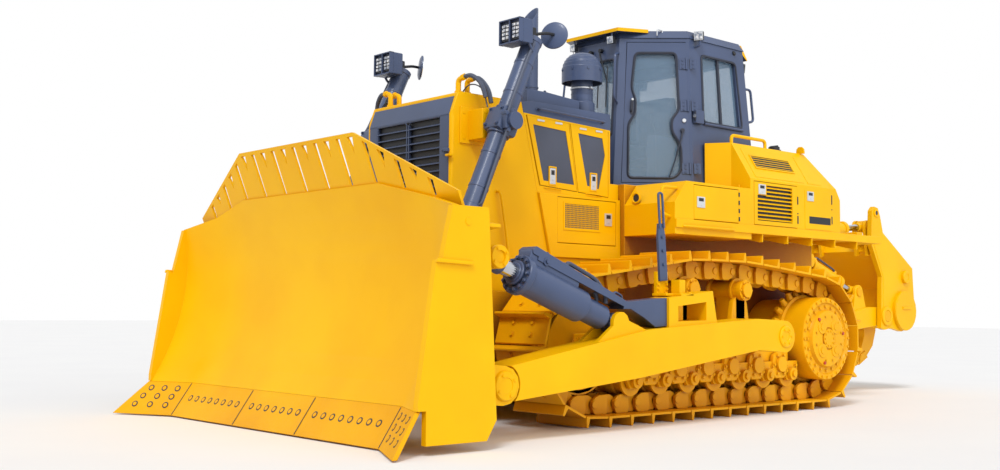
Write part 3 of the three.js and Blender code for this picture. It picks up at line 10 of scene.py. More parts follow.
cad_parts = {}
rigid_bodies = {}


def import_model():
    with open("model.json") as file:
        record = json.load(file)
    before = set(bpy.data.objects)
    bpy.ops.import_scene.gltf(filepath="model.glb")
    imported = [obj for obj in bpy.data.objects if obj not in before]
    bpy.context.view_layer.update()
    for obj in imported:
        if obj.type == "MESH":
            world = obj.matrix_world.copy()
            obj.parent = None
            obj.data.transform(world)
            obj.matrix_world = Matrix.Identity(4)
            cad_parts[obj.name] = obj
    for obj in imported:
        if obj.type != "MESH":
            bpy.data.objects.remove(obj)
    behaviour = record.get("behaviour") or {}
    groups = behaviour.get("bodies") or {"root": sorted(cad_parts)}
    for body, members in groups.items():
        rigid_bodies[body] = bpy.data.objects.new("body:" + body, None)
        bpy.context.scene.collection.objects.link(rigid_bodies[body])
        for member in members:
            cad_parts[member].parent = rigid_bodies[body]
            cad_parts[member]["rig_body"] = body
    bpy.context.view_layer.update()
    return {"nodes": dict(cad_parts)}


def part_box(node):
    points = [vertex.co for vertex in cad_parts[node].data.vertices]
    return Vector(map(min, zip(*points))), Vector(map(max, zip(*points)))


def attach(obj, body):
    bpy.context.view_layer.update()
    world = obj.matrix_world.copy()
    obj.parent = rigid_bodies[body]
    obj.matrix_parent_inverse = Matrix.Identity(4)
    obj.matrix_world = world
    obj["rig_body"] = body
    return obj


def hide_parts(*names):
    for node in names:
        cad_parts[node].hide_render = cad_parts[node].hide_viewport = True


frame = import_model()
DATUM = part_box("main_frame")[1].y - 2.45  # the hull's rear face stands at station 2.45
ACROSS, ALONG, UP = Vector((1, 0, 0)), Vector((0, 1, 0)), Vector((0, 0, 1))
SHARP = math.radians(38)  # edges turned more than this stay crisp
HULL_SIDE = 0.62  # face of the hood and nose
BOX_SIDE = 0.65  # face of the service boxes
FENDER_SIDE = 1.33
NOSE_FRONT = -2.79  # station of the nose's front face
HOOD_TOP = 2.8803  # seat of the exhaust and the precleaner
ARM_OUT, ARM_MID = 1.85, 1.70  # outer face and middle of a push arm
LIFT_X = 0.95
LIFT_YOKE, LIFT_EYE = (-2.5, 2.57), (-3.32, 0.75)
TILT_PIN, TILT_EYE = (-1.95, 0.885), (-3.32, 1.375)
ARM_PIN, TRUNNION = (-3.25, 0.43), (0.27, 0.76)
BLADE_SIDE = 2.05
TRACK_X, SHOE_HALF, SHOE_COUNT = 1.13, 0.305, 39
CHAIN, RAIL_Z = 0.165, 0.26  # depth of the links under a shoe, height of the rail they make
DRIVE, IDLER = (1.57, 0.72), (-1.85, 0.68)  # stations and heights of the end wheels' centres
CARRIERS, CARRIER_Z = (-0.50, 0.30), 1.195
EASE_STEPS = 5  # segments in each rounded-off corner of a route


# ---------------------------------------------------------------- finishes
def linked(tree, kind, **values):
    node = tree.nodes.new(kind)
    for name, value in values.items():
        setattr(node, name, value)
    return node


def noise(tree, scale, detail=4.0, stretch=(1, 1, 1)):
    place = linked(tree, "ShaderNodeTexCoord")
    mapping = linked(tree, "ShaderNodeMapping")
    mapping.inputs["Scale"].default_value = stretch
    texture = linked(tree, "ShaderNodeTexNoise")
    texture.inputs["Scale"].default_value = scale
    texture.inputs["Detail"].default_value = detail
    tree.links.new(place.outputs["Object"], mapping.inputs["Vector"])
    tree.links.new(mapping.outputs["Vector"], texture.inputs["Vector"])
    return texture.outputs["Fac"]


def ramp(tree, source, low, high, start=0.35, end=0.65):
    between = linked(tree, "ShaderNodeMapRange")
    between.inputs["From Min"].default_value = start
    between.inputs["From Max"].default_value = end
    between.inputs["To Min"].default_value = low
    between.inputs["To Max"].default_value = high
    tree.links.new(source, between.inputs["Value"])
    return between.outputs["Result"]


def mixed(tree, factor, first, second):
    mix = linked(tree, "ShaderNodeMix", data_type="RGBA")
    for socket, value in ((mix.inputs[6], first), (mix.inputs[7], second)):
        if isinstance(value, tuple):
            socket.default_value = (*value, 1)
        else:
            tree.links.new(value, socket)
    tree.links.new(factor, mix.inputs[0])
    return mix.outputs[2]


def tint(hexcode):
    """A colour given as it looks on screen, as linear light."""
    parts = [int(hexcode[i:i + 2], 16) / 255 for i in (0, 2, 4)]
    return tuple(part / 12.92 if part <= 0.04045 else ((part + 0.055) / 1.055) ** 2.4 for part in parts)


def coated(name, colour, shade, rough, metallic=0.0, coat=0.0, grain=90.0, grain_depth=0.0004,
           painted_shade=None, reach=0.22, stretch=(1, 1, 1), alpha=1.0, sheen=0.0, gloss=0.5):
    """Colour that drifts between two shades, with a fine grain in its roughness and its surface.

    Painted shade: a darker colour gathers where other surfaces stand within reach, where shade falls.
    """
    material = bpy.data.materials.new(name)
    material.use_nodes = True
    tree = material.node_tree
    shader = tree.nodes["Principled BSDF"]
    drift = noise(tree, 1.3, 5)
    base = mixed(tree, ramp(tree, drift, 0, 1), colour, shade)
    # Painted shade: ambient occlusion blends the colour towards the darker shade colour near other surfaces.
    if painted_shade:
        hollow = linked(tree, "ShaderNodeAmbientOcclusion", samples=6)
        hollow.inputs["Distance"].default_value = reach
        base = mixed(tree, ramp(tree, hollow.outputs["AO"], 1, 0, 0.25, 0.8), base, painted_shade)
    tree.links.new(base, shader.inputs["Base Color"])
    fine = noise(tree, grain, 3, stretch)
    tree.links.new(ramp(tree, fine, rough[0], rough[1], 0.3, 0.7), shader.inputs["Roughness"])
    bump = linked(tree, "ShaderNodeBump")
    bump.inputs["Strength"].default_value = 0.35
    bump.inputs["Distance"].default_value = grain_depth
    tree.links.new(fine, bump.inputs["Height"])
    tree.links.new(bump.outputs["Normal"], shader.inputs["Normal"])
    shader.inputs["Metallic"].default_value = metallic
    shader.inputs["Specular IOR Level"].default_value = gloss
    shader.inputs["Coat Weight"].default_value = coat
    shader.inputs["Coat Roughness"].default_value = 0.12
    shader.inputs["Alpha"].default_value = alpha
    shader.inputs["Sheen Weight"].default_value = sheen
    return material


def lamp_glass():
    """Clear lamp face with a grid of small reflector cells behind it."""
    material = coated("lamp_lens", tint("e9edf2"), tint("c3cad4"), (0.08, 0.16), 0.3, 0.6)
    tree = material.node_tree
    shader = tree.nodes["Principled BSDF"]
    place = linked(tree, "ShaderNodeTexCoord")
    cells = linked(tree, "ShaderNodeTexVoronoi")
    cells.inputs["Scale"].default_value = 34
    tree.links.new(place.outputs["Object"], cells.inputs["Vector"])
    glow = mixed(tree, ramp(tree, cells.outputs["Distance"], 0, 1, 0.1, 0.7), tint("ffffff"), tint("7b8698"))
    tree.links.new(glow, shader.inputs["Base Color"])
    return material


# The darker colours these paints take near other surfaces are painted shade.
YELLOW = coated("yellow_paint", tint("fac000"), tint("f4b600"), (0.34, 0.46), coat=0.03,
                painted_shade=tint("e4ac00"), gloss=0.16)
DEEP_YELLOW = coated("undercarriage_paint", tint("f6b600"), tint("eaa600"), (0.38, 0.54), coat=0.04,
                     painted_shade=tint("c07c10"), grain=60, grain_depth=0.0012, gloss=0.2)
# Painted shade: the hull's paint is a darker copy of the yellow, with a dark shade colour reaching 0.75 m,
# standing for the shade under the fenders and behind the tracks.
SHADED_HULL_YELLOW = coated("hull_paint_with_painted_shade", tint("f0ae00"), tint("e6a200"), (0.38, 0.52), coat=0.03,
                     painted_shade=tint("7c3c10"), reach=0.75, gloss=0.16)
SLATE = coated("slate_paint", tint("465577"), tint("3e4c6b"), (0.32, 0.46), coat=0.12, painted_shade=tint("2c3448"),
               grain=150, gloss=0.4)
BLACK = coated("black_paint", tint("171a21"), tint("11141a"), (0.45, 0.6), grain=200)
DARK_SCREEN = coated("dark_screen", tint("4a5163"), tint("3f4656"), (0.5, 0.62), grain=400, grain_depth=0.001)
CHROME = coated("chrome_rod", tint("c9cdd3"), tint("b5bac2"), (0.08, 0.16), 1.0, grain=300,
                stretch=(1, 12, 12))
SILVER = coated("lamp_housing", tint("d6dade"), tint("c4c9cf"), (0.3, 0.42), 0.45, grain=160)
RUBBER = coated("hose_rubber", tint("4c5468"), tint("3f4658"), (0.5, 0.65), grain=260, grain_depth=0.0008)
GASKET = coated("gasket_rubber", tint("2a3040"), tint("232836"), (0.5, 0.62), grain=260)
TRIM = coated("cab_trim", tint("7f8a97"), tint("717c8a"), (0.5, 0.66), grain=320, grain_depth=0.0009)
FABRIC = coated("seat_fabric", tint("4b525e"), tint("3f454f"), (0.8, 0.95), grain=700,
                grain_depth=0.0015, sheen=0.3)
GLASS = coated("cab_glass", tint("7f9cb8"), tint("7696b2"), (0.03, 0.06), coat=0.4, grain=2, grain_depth=0.0,
               alpha=0.4)
MIRROR = coated("mirror_glass", tint("dfe4ea"), tint("d2d8df"), (0.02, 0.05), 1.0, grain=3, grain_depth=0.0)
LAMP = lamp_glass()
RED = coated("red_plastic", tint("c0341c"), tint("a82c18"), (0.3, 0.45), coat=0.3)


# ---------------------------------------------------------------- shaping
# Where the points (u, v) of a flat outline and its run w go along X, Y and Z.
LAID = {
    "x": lambda u, v, w: (w, u, v),
    "y": lambda u, v, w: (u, w, v),
    "z": lambda u, v, w: (u, v, w),
}


def softened(bm, edges, width, segments=2):
    """Edges rounded off, when there are any and a width."""
    if width and edges:
        bmesh.ops.bevel(bm, geom=edges, offset=width, offset_type="OFFSET", segments=segments, profile=0.5,
                        affect="EDGES", material=-1, clamp_overlap=True)
    return bm


def block(low, high, bevel=0.004):
    """A box between two opposite corners."""
    low, high = Vector(low), Vector(high)
    bm = bmesh.new()
    bmesh.ops.create_cube(bm, size=1, matrix=Matrix.LocRotScale((low + high) / 2, None, high - low))
    return softened(bm, bm.edges[:], min(bevel, 0.3 * min(high - low)))


def plate(outline, axis, start, end, bevel=0.003):
    """A flat outline drawn out along X (its points are y, z), Y (x, z) or Z (x, y)."""
    order = LAID[axis]
    bm = bmesh.new()
    face = bm.faces.new([bm.verts.new(order(u, v, start)) for u, v in outline])
    grown = bmesh.ops.extrude_face_region(bm, geom=[face])["geom"]
    moved = [item for item in grown if isinstance(item, bmesh.types.BMVert)]
    bmesh.ops.translate(bm, verts=moved, vec=order(0, 0, end - start))
    bmesh.ops.recalc_face_normals(bm, faces=bm.faces[:])
    return softened(bm, bm.edges[:], min(bevel, 0.3 * abs(end - start)))


def aimed(start, heading):
    """The matrix that sets Z along a heading, from a start."""
    return Matrix.Translation(Vector(start)) @ Vector(heading).to_track_quat("Z", "Y").to_matrix().to_4x4()


def bar(start, end, radius, end_radius=None, sides=32, bevel=0.003):
    """A round, tapered or many-sided bar between two places."""
    start, end = Vector(start), Vector(end)
    bm = bmesh.new()
    bmesh.ops.create_cone(bm, cap_ends=True, cap_tris=False, segments=sides, radius1=radius,
                          radius2=radius if end_radius is None else end_radius, depth=(end - start).length,
                          matrix=aimed((start + end) / 2, end - start))
    rims = [edge for edge in bm.edges if any(len(face.verts) == sides for face in edge.link_faces)]
    return softened(bm, rims if sides > 4 else bm.edges[:], min(bevel, 0.3 * radius))


def turned(profile, start, heading, sides=48):
    """A profile of (radius, run) points spun about a line."""
    bm = bmesh.new()
    line = [bm.verts.new((radius, 0, run)) for radius, run in profile]
    edges = [bm.edges.new(two) for two in zip(line, line[1:])]
    bmesh.ops.spin(bm, geom=line + edges, cent=(0, 0, 0), axis=UP, angle=math.tau, steps=sides,
                   use_merge=True)
    bmesh.ops.remove_doubles(bm, verts=bm.verts[:], dist=1e-5)
    bmesh.ops.recalc_face_normals(bm, faces=bm.faces[:])
    bmesh.ops.transform(bm, matrix=aimed(start, heading), verts=bm.verts[:])
    return bm


def eased_corner(before, corner, after, reach):
    """The points that round off one corner of a route."""
    enter = corner + (before - corner).normalized() * min(reach, (before - corner).length * 0.48)
    leave = corner + (after - corner).normalized() * min(reach, (after - corner).length * 0.48)
    shares = [i / EASE_STEPS for i in range(EASE_STEPS + 1)]
    return [(1 - share) ** 2 * enter + 2 * share * (1 - share) * corner + share ** 2 * leave
            for share in shares]


def eased(points, reach):
    """The same route with each inner corner rounded off."""
    points = [Vector(point) for point in points]
    route = [points[0]]
    for before, corner, after in zip(points, points[1:], points[2:]):
        route += eased_corner(before, corner, after, reach)
    return route + [points[-1]]


def pipe(points, radius, bend=0.05, sides=12):
    """A round bar or hose along a route with eased corners."""
    curve = bpy.data.curves.new("route", "CURVE")
    curve.dimensions = "3D"
    curve.bevel_depth = radius
    curve.bevel_resolution = sides // 4 - 1
    curve.use_fill_caps = True
    route = eased(points, bend)
    spline = curve.splines.new("POLY")
    spline.points.add(len(route) - 1)
    for knot, point in zip(spline.points, route):
        knot.co = (*point, 1)
    holder = bpy.data.objects.new("route", curve)
    bpy.context.scene.collection.objects.link(holder)
    bpy.context.view_layer.update()
    mesh = bpy.data.meshes.new_from_object(holder)
    bm = bmesh.new()
    bm.from_mesh(mesh)
    bmesh.ops.remove_doubles(bm, verts=bm.verts[:], dist=1e-5)
    bmesh.ops.recalc_face_normals(bm, faces=bm.faces[:])
    bpy.data.objects.remove(holder)
    bpy.data.meshes.remove(mesh)
    bpy.data.curves.remove(curve)
    return bm


def together(shapes):
    """Several shapes as one, with the shapes used up."""
    bm = bmesh.new()
    for shape in shapes:
        mesh = bpy.data.meshes.new("part")
        shape.to_mesh(mesh)
        shape.free()
        bm.from_mesh(mesh)
        bpy.data.meshes.remove(mesh)
    return bm


def bolts(points, heading, size=0.014, height=0.012):
    """Hexagon heads on washers, facing one way."""
    heading = Vector(heading).normalized()
    heads = []
    for point in points:
        foot = Vector(point)
        heads.append(bar(foot, foot + heading * height * 0.25, size * 1.5, sides=12, bevel=0))
        heads.append(bar(foot, foot + heading * height, size, sides=6, bevel=size * 0.12))
    return together(heads)


def ring_points(centre, heading, radius, count, start=0.0):
    """Evenly spaced places on a circle."""
    place = aimed(centre, heading)
    angles = [start + i * math.tau / count for i in range(count)]
    return [place @ Vector((radius * math.cos(angle), radius * math.sin(angle), 0)) for angle in angles]


def moved(bm, matrix):
    bmesh.ops.transform(bm, matrix=matrix, verts=bm.verts[:])
    return bm


def laid_in(bm, matrix):
    """A shape set in by a matrix that may turn it inside out."""
    moved(bm, matrix)
    bmesh.ops.recalc_face_normals(bm, faces=bm.faces[:])
    return bm


def mirrored(bm):
    """The right side's copy of a left side's shape."""
    copy = bm.copy()
    bmesh.ops.scale(copy, vec=(-1, 1, 1), verts=copy.verts[:])
    bmesh.ops.reverse_faces(copy, faces=copy.faces[:])
    return copy


# ---------------------------------------------------------------- pieces
def finished(name, mesh, body, stands_for=()):
    """The scene object for a mesh, with its body and the nodes it stands for."""
    mesh.shade_smooth()
    mesh.set_sharp_from_angle(angle=SHARP)
    made = bpy.data.objects.new(name, mesh)
    bpy.context.scene.collection.objects.link(made)
    weighted = made.modifiers.new("even_light", "WEIGHTED_NORMAL")
    weighted.keep_sharp = True
    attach(made, body)
    if stands_for:
        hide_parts(*stands_for)
    return made


def piece(name, body, shapes, stands_for=()):
    """Joins (shape, finish) pairs, laid out by station, into one piece on a body."""
    mesh = bpy.data.meshes.new(name)
    whole = bmesh.new()
    for shape, finish in shapes:
        if finish.name not in mesh.materials:
            mesh.materials.append(finish)
        index = mesh.materials.find(finish.name)
        part = bpy.data.meshes.new("part")
        for face in shape.faces:
            face.material_index = index
        shape.to_mesh(part)
        whole.from_mesh(part)
        bpy.data.meshes.remove(part)
    moved(whole, Matrix.Translation((0, DATUM, 0)))
    whole.to_mesh(mesh)
    whole.free()
    return finished(name, mesh, body, stands_for)


def pair(name, body, shapes, stands_for=()):
    """The same piece on the left and mirrored on the right; {} in a name takes the side."""
    for side in ("left", "right"):
        sided = shapes if side == "left" else [(mirrored(shape), finish) for shape, finish in shapes]
        piece(f"{name}_{side}", body.format(side), sided, [node.format(side) for node in stands_for])


def refined(node, finish, seam, corners):
    """A CAD node's own shape with its edges softened, standing for that node.

    A seam plane splits its faces. Edges whose ends both pass the corners test are rounded wider.
    """
    source = frame["nodes"][node]
    bm = bmesh.new()
    bm.from_mesh(source.data)
    bmesh.ops.remove_doubles(bm, verts=bm.verts[:], dist=2e-5)
    bmesh.ops.dissolve_limit(bm, angle_limit=math.radians(0.4), verts=bm.verts[:], edges=bm.edges[:])
    if seam:
        bmesh.ops.bisect_plane(bm, geom=bm.verts[:] + bm.edges[:] + bm.faces[:], plane_co=seam[0],
                               plane_no=seam[1])
    if corners:
        softened(bm, [edge for edge in bm.edges if all(corners(vert.co) for vert in edge.verts)], 0.03, 5)
    bmesh.ops.connect_verts_concave(bm, faces=bm.faces[:])
    mesh = bpy.data.meshes.new(node)
    mesh.materials.append(finish)
    for face in bm.faces:
        face.material_index = 0
    bm.to_mesh(mesh)
    bm.free()
    for leftover in ("custom_normal", "sharp_edge", "sharp_face"):
        if leftover in mesh.attributes:
            mesh.attributes.remove(mesh.attributes[leftover])
    made = finished(f"{node}_shell", mesh, source["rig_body"], [node])
    rounding = made.modifiers.new("soft_edges", "BEVEL")
    rounding.width = 0.005
    rounding.segments = 2
    rounding.limit_method = "ANGLE"
    rounding.angle_limit = math.radians(30)
    made.modifiers.move(1, 0)
    return made


# ---------------------------------------------------------------- CAD nodes with softened edges
# The hood is slate above this plane, which runs just over its doors, and yellow below it.
HOOD_SEAM = (Vector((0, -1.925 + DATUM, 2.762)), Vector((0, 0.0361, 1)))


def cad_shells():
    """The finish of each CAD node that keeps its own shape."""
    finishes = {
        # Painted shade: the main frame takes the hull's darker, shaded copy of the yellow.
        SHADED_HULL_YELLOW: ["main_frame"],
        YELLOW: ["radiator_guard", "side_box_{}", "fender_{}", "blade", "push_arm_{}",
                 "ripper_bracket", "ripper_link", "ripper_beam", "service_door_{}", "fender_door_{}"],
        DEEP_YELLOW: ["track_frame_{}", "ripper_cross_shaft", "ripper_shank", "cutting_edge"],
        SLATE: ["hood", "cab_shell", "cab_roof", "arm_guard_{}"],
        TRIM: ["cab_floor"],
        BLACK: ["engine_block"],
    }
    for finish, nodes in finishes.items():
        for pattern in nodes:
            for node in sorted({pattern.format(side) for side in ("left", "right")}):
                refined(node, finish, HOOD_SEAM if node == "hood" else None,
                        nose_corner if node == "radiator_guard" else None)


def nose_corner(place):
    return place.y - DATUM < NOSE_FRONT + 0.001 and abs(place.x) > HULL_SIDE - 0.001


def paint_visors():
    """The roof's front and rear visors are yellow on top; its panel and their undersides are slate."""
    mesh = bpy.data.objects["cab_roof_shell"].data
    mesh.materials.append(YELLOW)
    front, rear = -0.13 + DATUM, 1.065 + DATUM
    for face in mesh.polygons:
        y, z = face.center.y, face.center.z
        if (y > rear or z > 3.812 and y < front) and face.normal.z > -0.3:
            face.material_index = 1


def paint_hood_sides():
    """The hood's sides are yellow below its seam."""
    mesh = bpy.data.objects["hood_shell"].data
    mesh.materials.append(YELLOW)
    place, upward = HOOD_SEAM
    for face in mesh.polygons:
        if (face.center - place).dot(upward) < 0 and abs(face.center.x) > HULL_SIDE - 0.05:
            face.material_index = 1


cad_shells()
paint_visors()
paint_hood_sides()


# ---------------------------------------------------------------- tracks
def round_belt(circles):
    """Evenly walked outline of a belt round circles (y, z, radius), counter-clockwise seen from +X."""
    turns = []
    for (y, z, radius), (next_y, next_z, next_radius) in zip(circles, circles[1:] + circles[:1]):
        run = Vector((next_y - y, next_z - z))
        turns.append(math.atan2(run.y, run.x) - math.acos((radius - next_radius) / run.length))
    route = []
    for i, (y, z, radius) in enumerate(circles):
        enter, leave = turns[i - 1], turns[i]
        while leave < enter:
            leave += math.tau
        for step in range(25):
            angle = enter + (leave - enter) * step / 24
            route.append(Vector((y + radius * math.cos(angle), z + radius * math.sin(angle))))
    return route + [route[0]]


def walked(route, count):
    """Places spaced evenly along a route, and their spacing."""
    lengths = [(b - a).length for a, b in zip(route, route[1:])]
    pitch = sum(lengths) / count
    points, done, i = [], 0.0, 0
    for n in range(count):
        while done + lengths[i] < n * pitch - 1e-9:
            done += lengths[i]
            i += 1
        points.append(route[i].lerp(route[i + 1], (n * pitch - done) / lengths[i]))
    return points, pitch


def shoe(pitch):
    """One shoe with its grouser, bolts and pair of links: X across, Y along the belt, Z outward."""
    pad = [(0.003, 0), (pitch - 0.012, 0), (pitch - 0.004, 0.008), (pitch - 0.014, 0.02), (0.044, 0.02),
           (0.031, 0.086), (0.026, 0.094), (0.012, 0.094), (0.007, 0.086), (0.003, 0.022)]
    link = [(-0.03, -0.06), (-0.01, -0.02), (0.01, 0), (pitch * 0.55, 0), (pitch * 0.6, -0.05),
            (pitch * 0.56, -0.15), (pitch * 0.5, -CHAIN), (0.06, -CHAIN), (0.01, -0.145), (-0.03, -0.11)]
    tail = [(pitch * 0.45, -0.004), (pitch - 0.02, -0.004), (pitch + 0.03, -0.06), (pitch + 0.03, -0.11),
            (pitch - 0.01, -0.145), (pitch * 0.8, -CHAIN), (pitch * 0.5, -CHAIN), (pitch * 0.42, -0.12)]
    shapes = [plate(pad, "x", -SHOE_HALF, SHOE_HALF, 0.0015)]
    for side in (-1, 1):
        shapes.append(plate(link, "x", *sorted((side * 0.1, side * 0.134)), 0.004))
        shapes.append(plate(tail, "x", *sorted((side * 0.066, side * 0.1)), 0.004))
        shapes.append(bar((side * 0.13, 0, -0.085), (side * 0.143, 0, -0.085), 0.034, sides=16))
        shapes.append(bolts([(side * 0.115, u, 0.02) for u in (0.085, 0.185)], UP, 0.017, 0.016))
    shapes.append(bar((-0.1, 0, -0.085), (0.1, 0, -0.085), 0.04, sides=16, bevel=0))
    return together(shapes)


def track_loop():
    wheels = [(*IDLER, 0.42 + CHAIN), (*DRIVE, 0.46 + CHAIN), (CARRIERS[1], CARRIER_Z, 0.1 + CHAIN),
              (CARRIERS[0], CARRIER_Z, 0.1 + CHAIN)]
    corners, pitch = walked(round_belt(wheels), SHOE_COUNT)
    pattern = shoe(pitch)
    loop = bmesh.new()
    for here, ahead in zip(corners, corners[1:] + corners[:1]):
        along = (ahead - here).normalized()
        turn = Matrix(((1, 0, 0), (0, along.x, along.y), (0, along.y, -along.x))).to_4x4()
        link = moved(pattern.copy(), Matrix.Translation((TRACK_X, here.x, here.y)) @ turn)
        bmesh.ops.reverse_faces(link, faces=link.faces[:])
        mesh = bpy.data.meshes.new("part")
        link.to_mesh(mesh)
        link.free()
        loop.from_mesh(mesh)
        bpy.data.meshes.remove(mesh)
    return loop


def track_roller(y):
    """A double-flanged roller in its bolted collar."""
    radius, z = 0.11, RAIL_Z + 0.11
    profile = [(0, -0.17), (0.132, -0.17), (0.132, -0.148), (radius, -0.14), (radius, -0.05), (0.128, -0.045),
               (0.128, 0.045), (radius, 0.05), (radius, 0.14), (0.132, 0.148), (0.132, 0.17), (0, 0.17)]
    face = TRACK_X + 0.205
    collar = plate([(y - 0.125, 0.5), (y - 0.125, 0.42), (y - 0.06, 0.305), (y + 0.06, 0.305),
                    (y + 0.125, 0.42), (y + 0.125, 0.5)], "x", face - 0.03, face + 0.012, 0.008)
    return [turned(profile, (TRACK_X, y, z), ACROSS, 36), collar,
            bar((TRACK_X + 0.17, y, z), (face + 0.055, y, z), 0.062),
            bar((face, y, z), (face + 0.075, y, z), 0.03),
            bolts([(face + 0.012, y + a, 0.455 + b) for a in (-0.08, 0.08) for b in (0, -0.055)],
                  ACROSS, 0.017, 0.02)]


def roller_guard(start, end):
    """The lens-shaped casting between two rollers, with its pivot cover."""
    middle, face = (start + end) / 2, TRACK_X + 0.215
    body = plate([(start, 0.40), (middle - 0.07, 0.33), (middle + 0.07, 0.33), (end, 0.40),
                  (end - 0.03, 0.56), (middle, 0.61), (start + 0.03, 0.56)], "x", face - 0.03,
                 face + 0.018, 0.012)
    return [body, bar((face, middle, 0.47), (face + 0.05, middle, 0.47), 0.075),
            bolts(ring_points((face + 0.018, middle, 0.47), ACROSS, 0.105, 6), ACROSS, 0.014, 0.018)]


def carrier(y):
    """Top roller on its overhung shaft, in a split bearing block."""
    z = CARRIER_Z
    reach = TRACK_X + 0.2
    return [turned([(0, -0.15), (0.12, -0.15), (0.12, -0.13), (0.094, -0.12), (0.094, 0.12), (0.12, 0.13),
                    (0.12, 0.15), (0.06, 0.15), (0.06, 0.25), (0, 0.25)], (TRACK_X, y, z), ACROSS, 36),
            bar((reach, y, z), (reach + 0.05, y, z), 0.1),
            bar((reach + 0.05, y, z), (reach + 0.075, y, z), 0.07),
            bolts(ring_points((reach + 0.05, y, z), ACROSS, 0.083, 6), ACROSS, 0.011, 0.012),
            plate([(y - 0.15, 0.86), (y - 0.11, 1.08), (y - 0.07, 1.13), (y + 0.07, 1.13),
                   (y + 0.11, 1.08), (y + 0.15, 0.86)], "x", reach - 0.08, reach - 0.02, 0.012),
            block((reach - 0.1, y - 0.17, 0.86), (reach + 0.03, y + 0.17, 0.885)),
            bolts([(reach + 0.005, y + a, 0.885) for a in (-0.14, 0.14)], UP, 0.018, 0.02)]


def undercarriage():
    """Belt, rollers, guards, carrier rollers and idler of each track."""
    pair("track_chain", "tractor", [(track_loop(), DEEP_YELLOW)], ["track_{}"])
    rollers = [-1.27 + 0.39 * i for i in range(7)]
    shapes = [shape for y in rollers for shape in track_roller(y)]
    for start, end in zip(rollers, rollers[1:]):
        shapes += roller_guard(start + 0.06, end - 0.06)
    pair("track_rollers", "tractor", [(together(shapes), DEEP_YELLOW)])
    pair("carrier_rollers", "tractor", [(shape, DEEP_YELLOW) for y in CARRIERS for shape in carrier(y)])
    pair("idler", "tractor", [(shape, DEEP_YELLOW) for shape in idler()])


def idler():
    """The front wheel in its bolted yoke."""
    y, z = IDLER
    wheel = turned([(0, -0.09), (0.1, -0.1), (0.13, -0.05), (0.33, -0.04), (0.37, -0.1), (0.412, -0.1),
                    (0.415, -0.055), (0.425, -0.05), (0.425, 0.05), (0.415, 0.055), (0.412, 0.1), (0.37, 0.1),
                    (0.33, 0.04), (0.13, 0.05), (0.1, 0.1), (0, 0.09)], (TRACK_X, y, z), ACROSS, 64)
    face = TRACK_X + 0.185
    yoke = plate([(y - 0.13, z - 0.11), (y + 0.5, z - 0.13), (y + 0.5, z + 0.13), (y - 0.13, z + 0.11)], "x",
                 face - 0.03, face + 0.01, 0.01)
    return [wheel, yoke, bar((face, y, z), (face + 0.035, y, z), 0.085),
            block((face - 0.02, y + 0.2, z - 0.2), (face + 0.02, y + 0.45, z - 0.13)),
            bolts(ring_points((face + 0.01, y, z), ACROSS, 0.1, 8), ACROSS),
            bolts([(face + 0.01, y + 0.25 + 0.08 * i, z + s) for i in range(3)
                   for s in (-0.09, 0.09)], ACROSS)]


def sprocket():
    """Toothed ring and the planetary hub's cover, with its bolt circles, four lobes and filler plugs."""
    y, z = DRIVE
    face = TRACK_X + 0.35
    teeth = []
    for centre in ring_points((TRACK_X, y, z), ACROSS, 0.47, 25):
        out = (centre - Vector((TRACK_X, y, z))).normalized()
        teeth.append(bar(centre - out * 0.05, centre + out * 0.05, 0.05, 0.026, sides=8))
    drum = turned([(0, -0.42), (0.40, -0.42), (0.405, -0.06), (0.452, -0.05), (0.452, 0.05),
                   (0.425, 0.06), (0.425, 0.30), (0.418, 0.318), (0.372, 0.322), (0.366, 0.312),
                   (0.36, 0.305), (0.30, 0.305), (0.292, 0.318), (0.285, 0.34), (0.25, 0.347),
                   (0.12, 0.347), (0.11, 0.338), (0.1, 0.338), (0, 0.338)], (TRACK_X, y, z), ACROSS, 72)
    lobes = [bar(point, point + ACROSS * 0.018, 0.078, 0.07) for point in
             ring_points((face - 0.012, y, z), ACROSS, 0.17, 4, math.pi / 4)]
    caps = [bar(point, point + ACROSS * 0.024, 0.036) for point in
            ring_points((face - 0.012, y, z), ACROSS, 0.17, 4, math.pi / 4)]
    metal = [drum, *teeth, *lobes, *caps, bar((face - 0.02, y, z), (face + 0.006, y, z), 0.1),
             bolts(ring_points((face - 0.032, y, z), ACROSS, 0.396, 28), ACROSS, 0.013, 0.014),
             bolts(ring_points((face - 0.045, y, z), ACROSS, 0.33, 20), ACROSS, 0.013, 0.014),
             bolts(ring_points((face + 0.006, y, z), ACROSS, 0.078, 10), ACROSS, 0.009, 0.008),
             bolts(ring_points((face + 0.004, y, z), ACROSS, 0.232, 12, 0.26), ACROSS, 0.008, 0.006)]
    plugs = [bar(point, point + ACROSS * 0.02, 0.017, sides=16) for point in
             ring_points((face - 0.012, y, z), ACROSS, 0.262, 3, 0.2)]
    return [(together(metal), DEEP_YELLOW), (together(plugs), RED)]


undercarriage()
pair("drive_hub", "tractor", sprocket(), ["final_drive_{}"])


# ---------------------------------------------------------------- cylinders
def line_of(x, start, end):
    """Places along a cylinder: run from its first pin, rise above its axis, side outwards."""
    origin = Vector((x, *start))
    heading = (Vector((x, *end)) - origin).normalized()
    above = Vector((0, heading.z, -heading.y)) * (-1 if heading.y > 0 else 1)
    above = above if above.z >= 0 else -above

    def at(run, rise=0.0, side=0.0):
        return origin + heading * run + above * rise + ACROSS * side
    return at


def along(at):
    """Sets a shape drawn round the origin onto a cylinder: Y to its run, Z to its rise."""
    heading, above = at(1) - at(0), at(0, 1) - at(0)
    turn = Matrix(((1, 0, 0), (0, heading.y, above.y), (0, heading.z, above.z))).to_4x4()
    return Matrix.Translation(at(0)) @ turn


def tube_between(at, start, end, radius, rim=0.006):
    """A tube on a cylinder's axis, between two runs."""
    return turned([(0, 0), (radius - rim, 0), (radius, rim), (radius, end - start - rim),
                   (radius - rim, end - start), (0, end - start)], at(start), at(end) - at(start), 48)


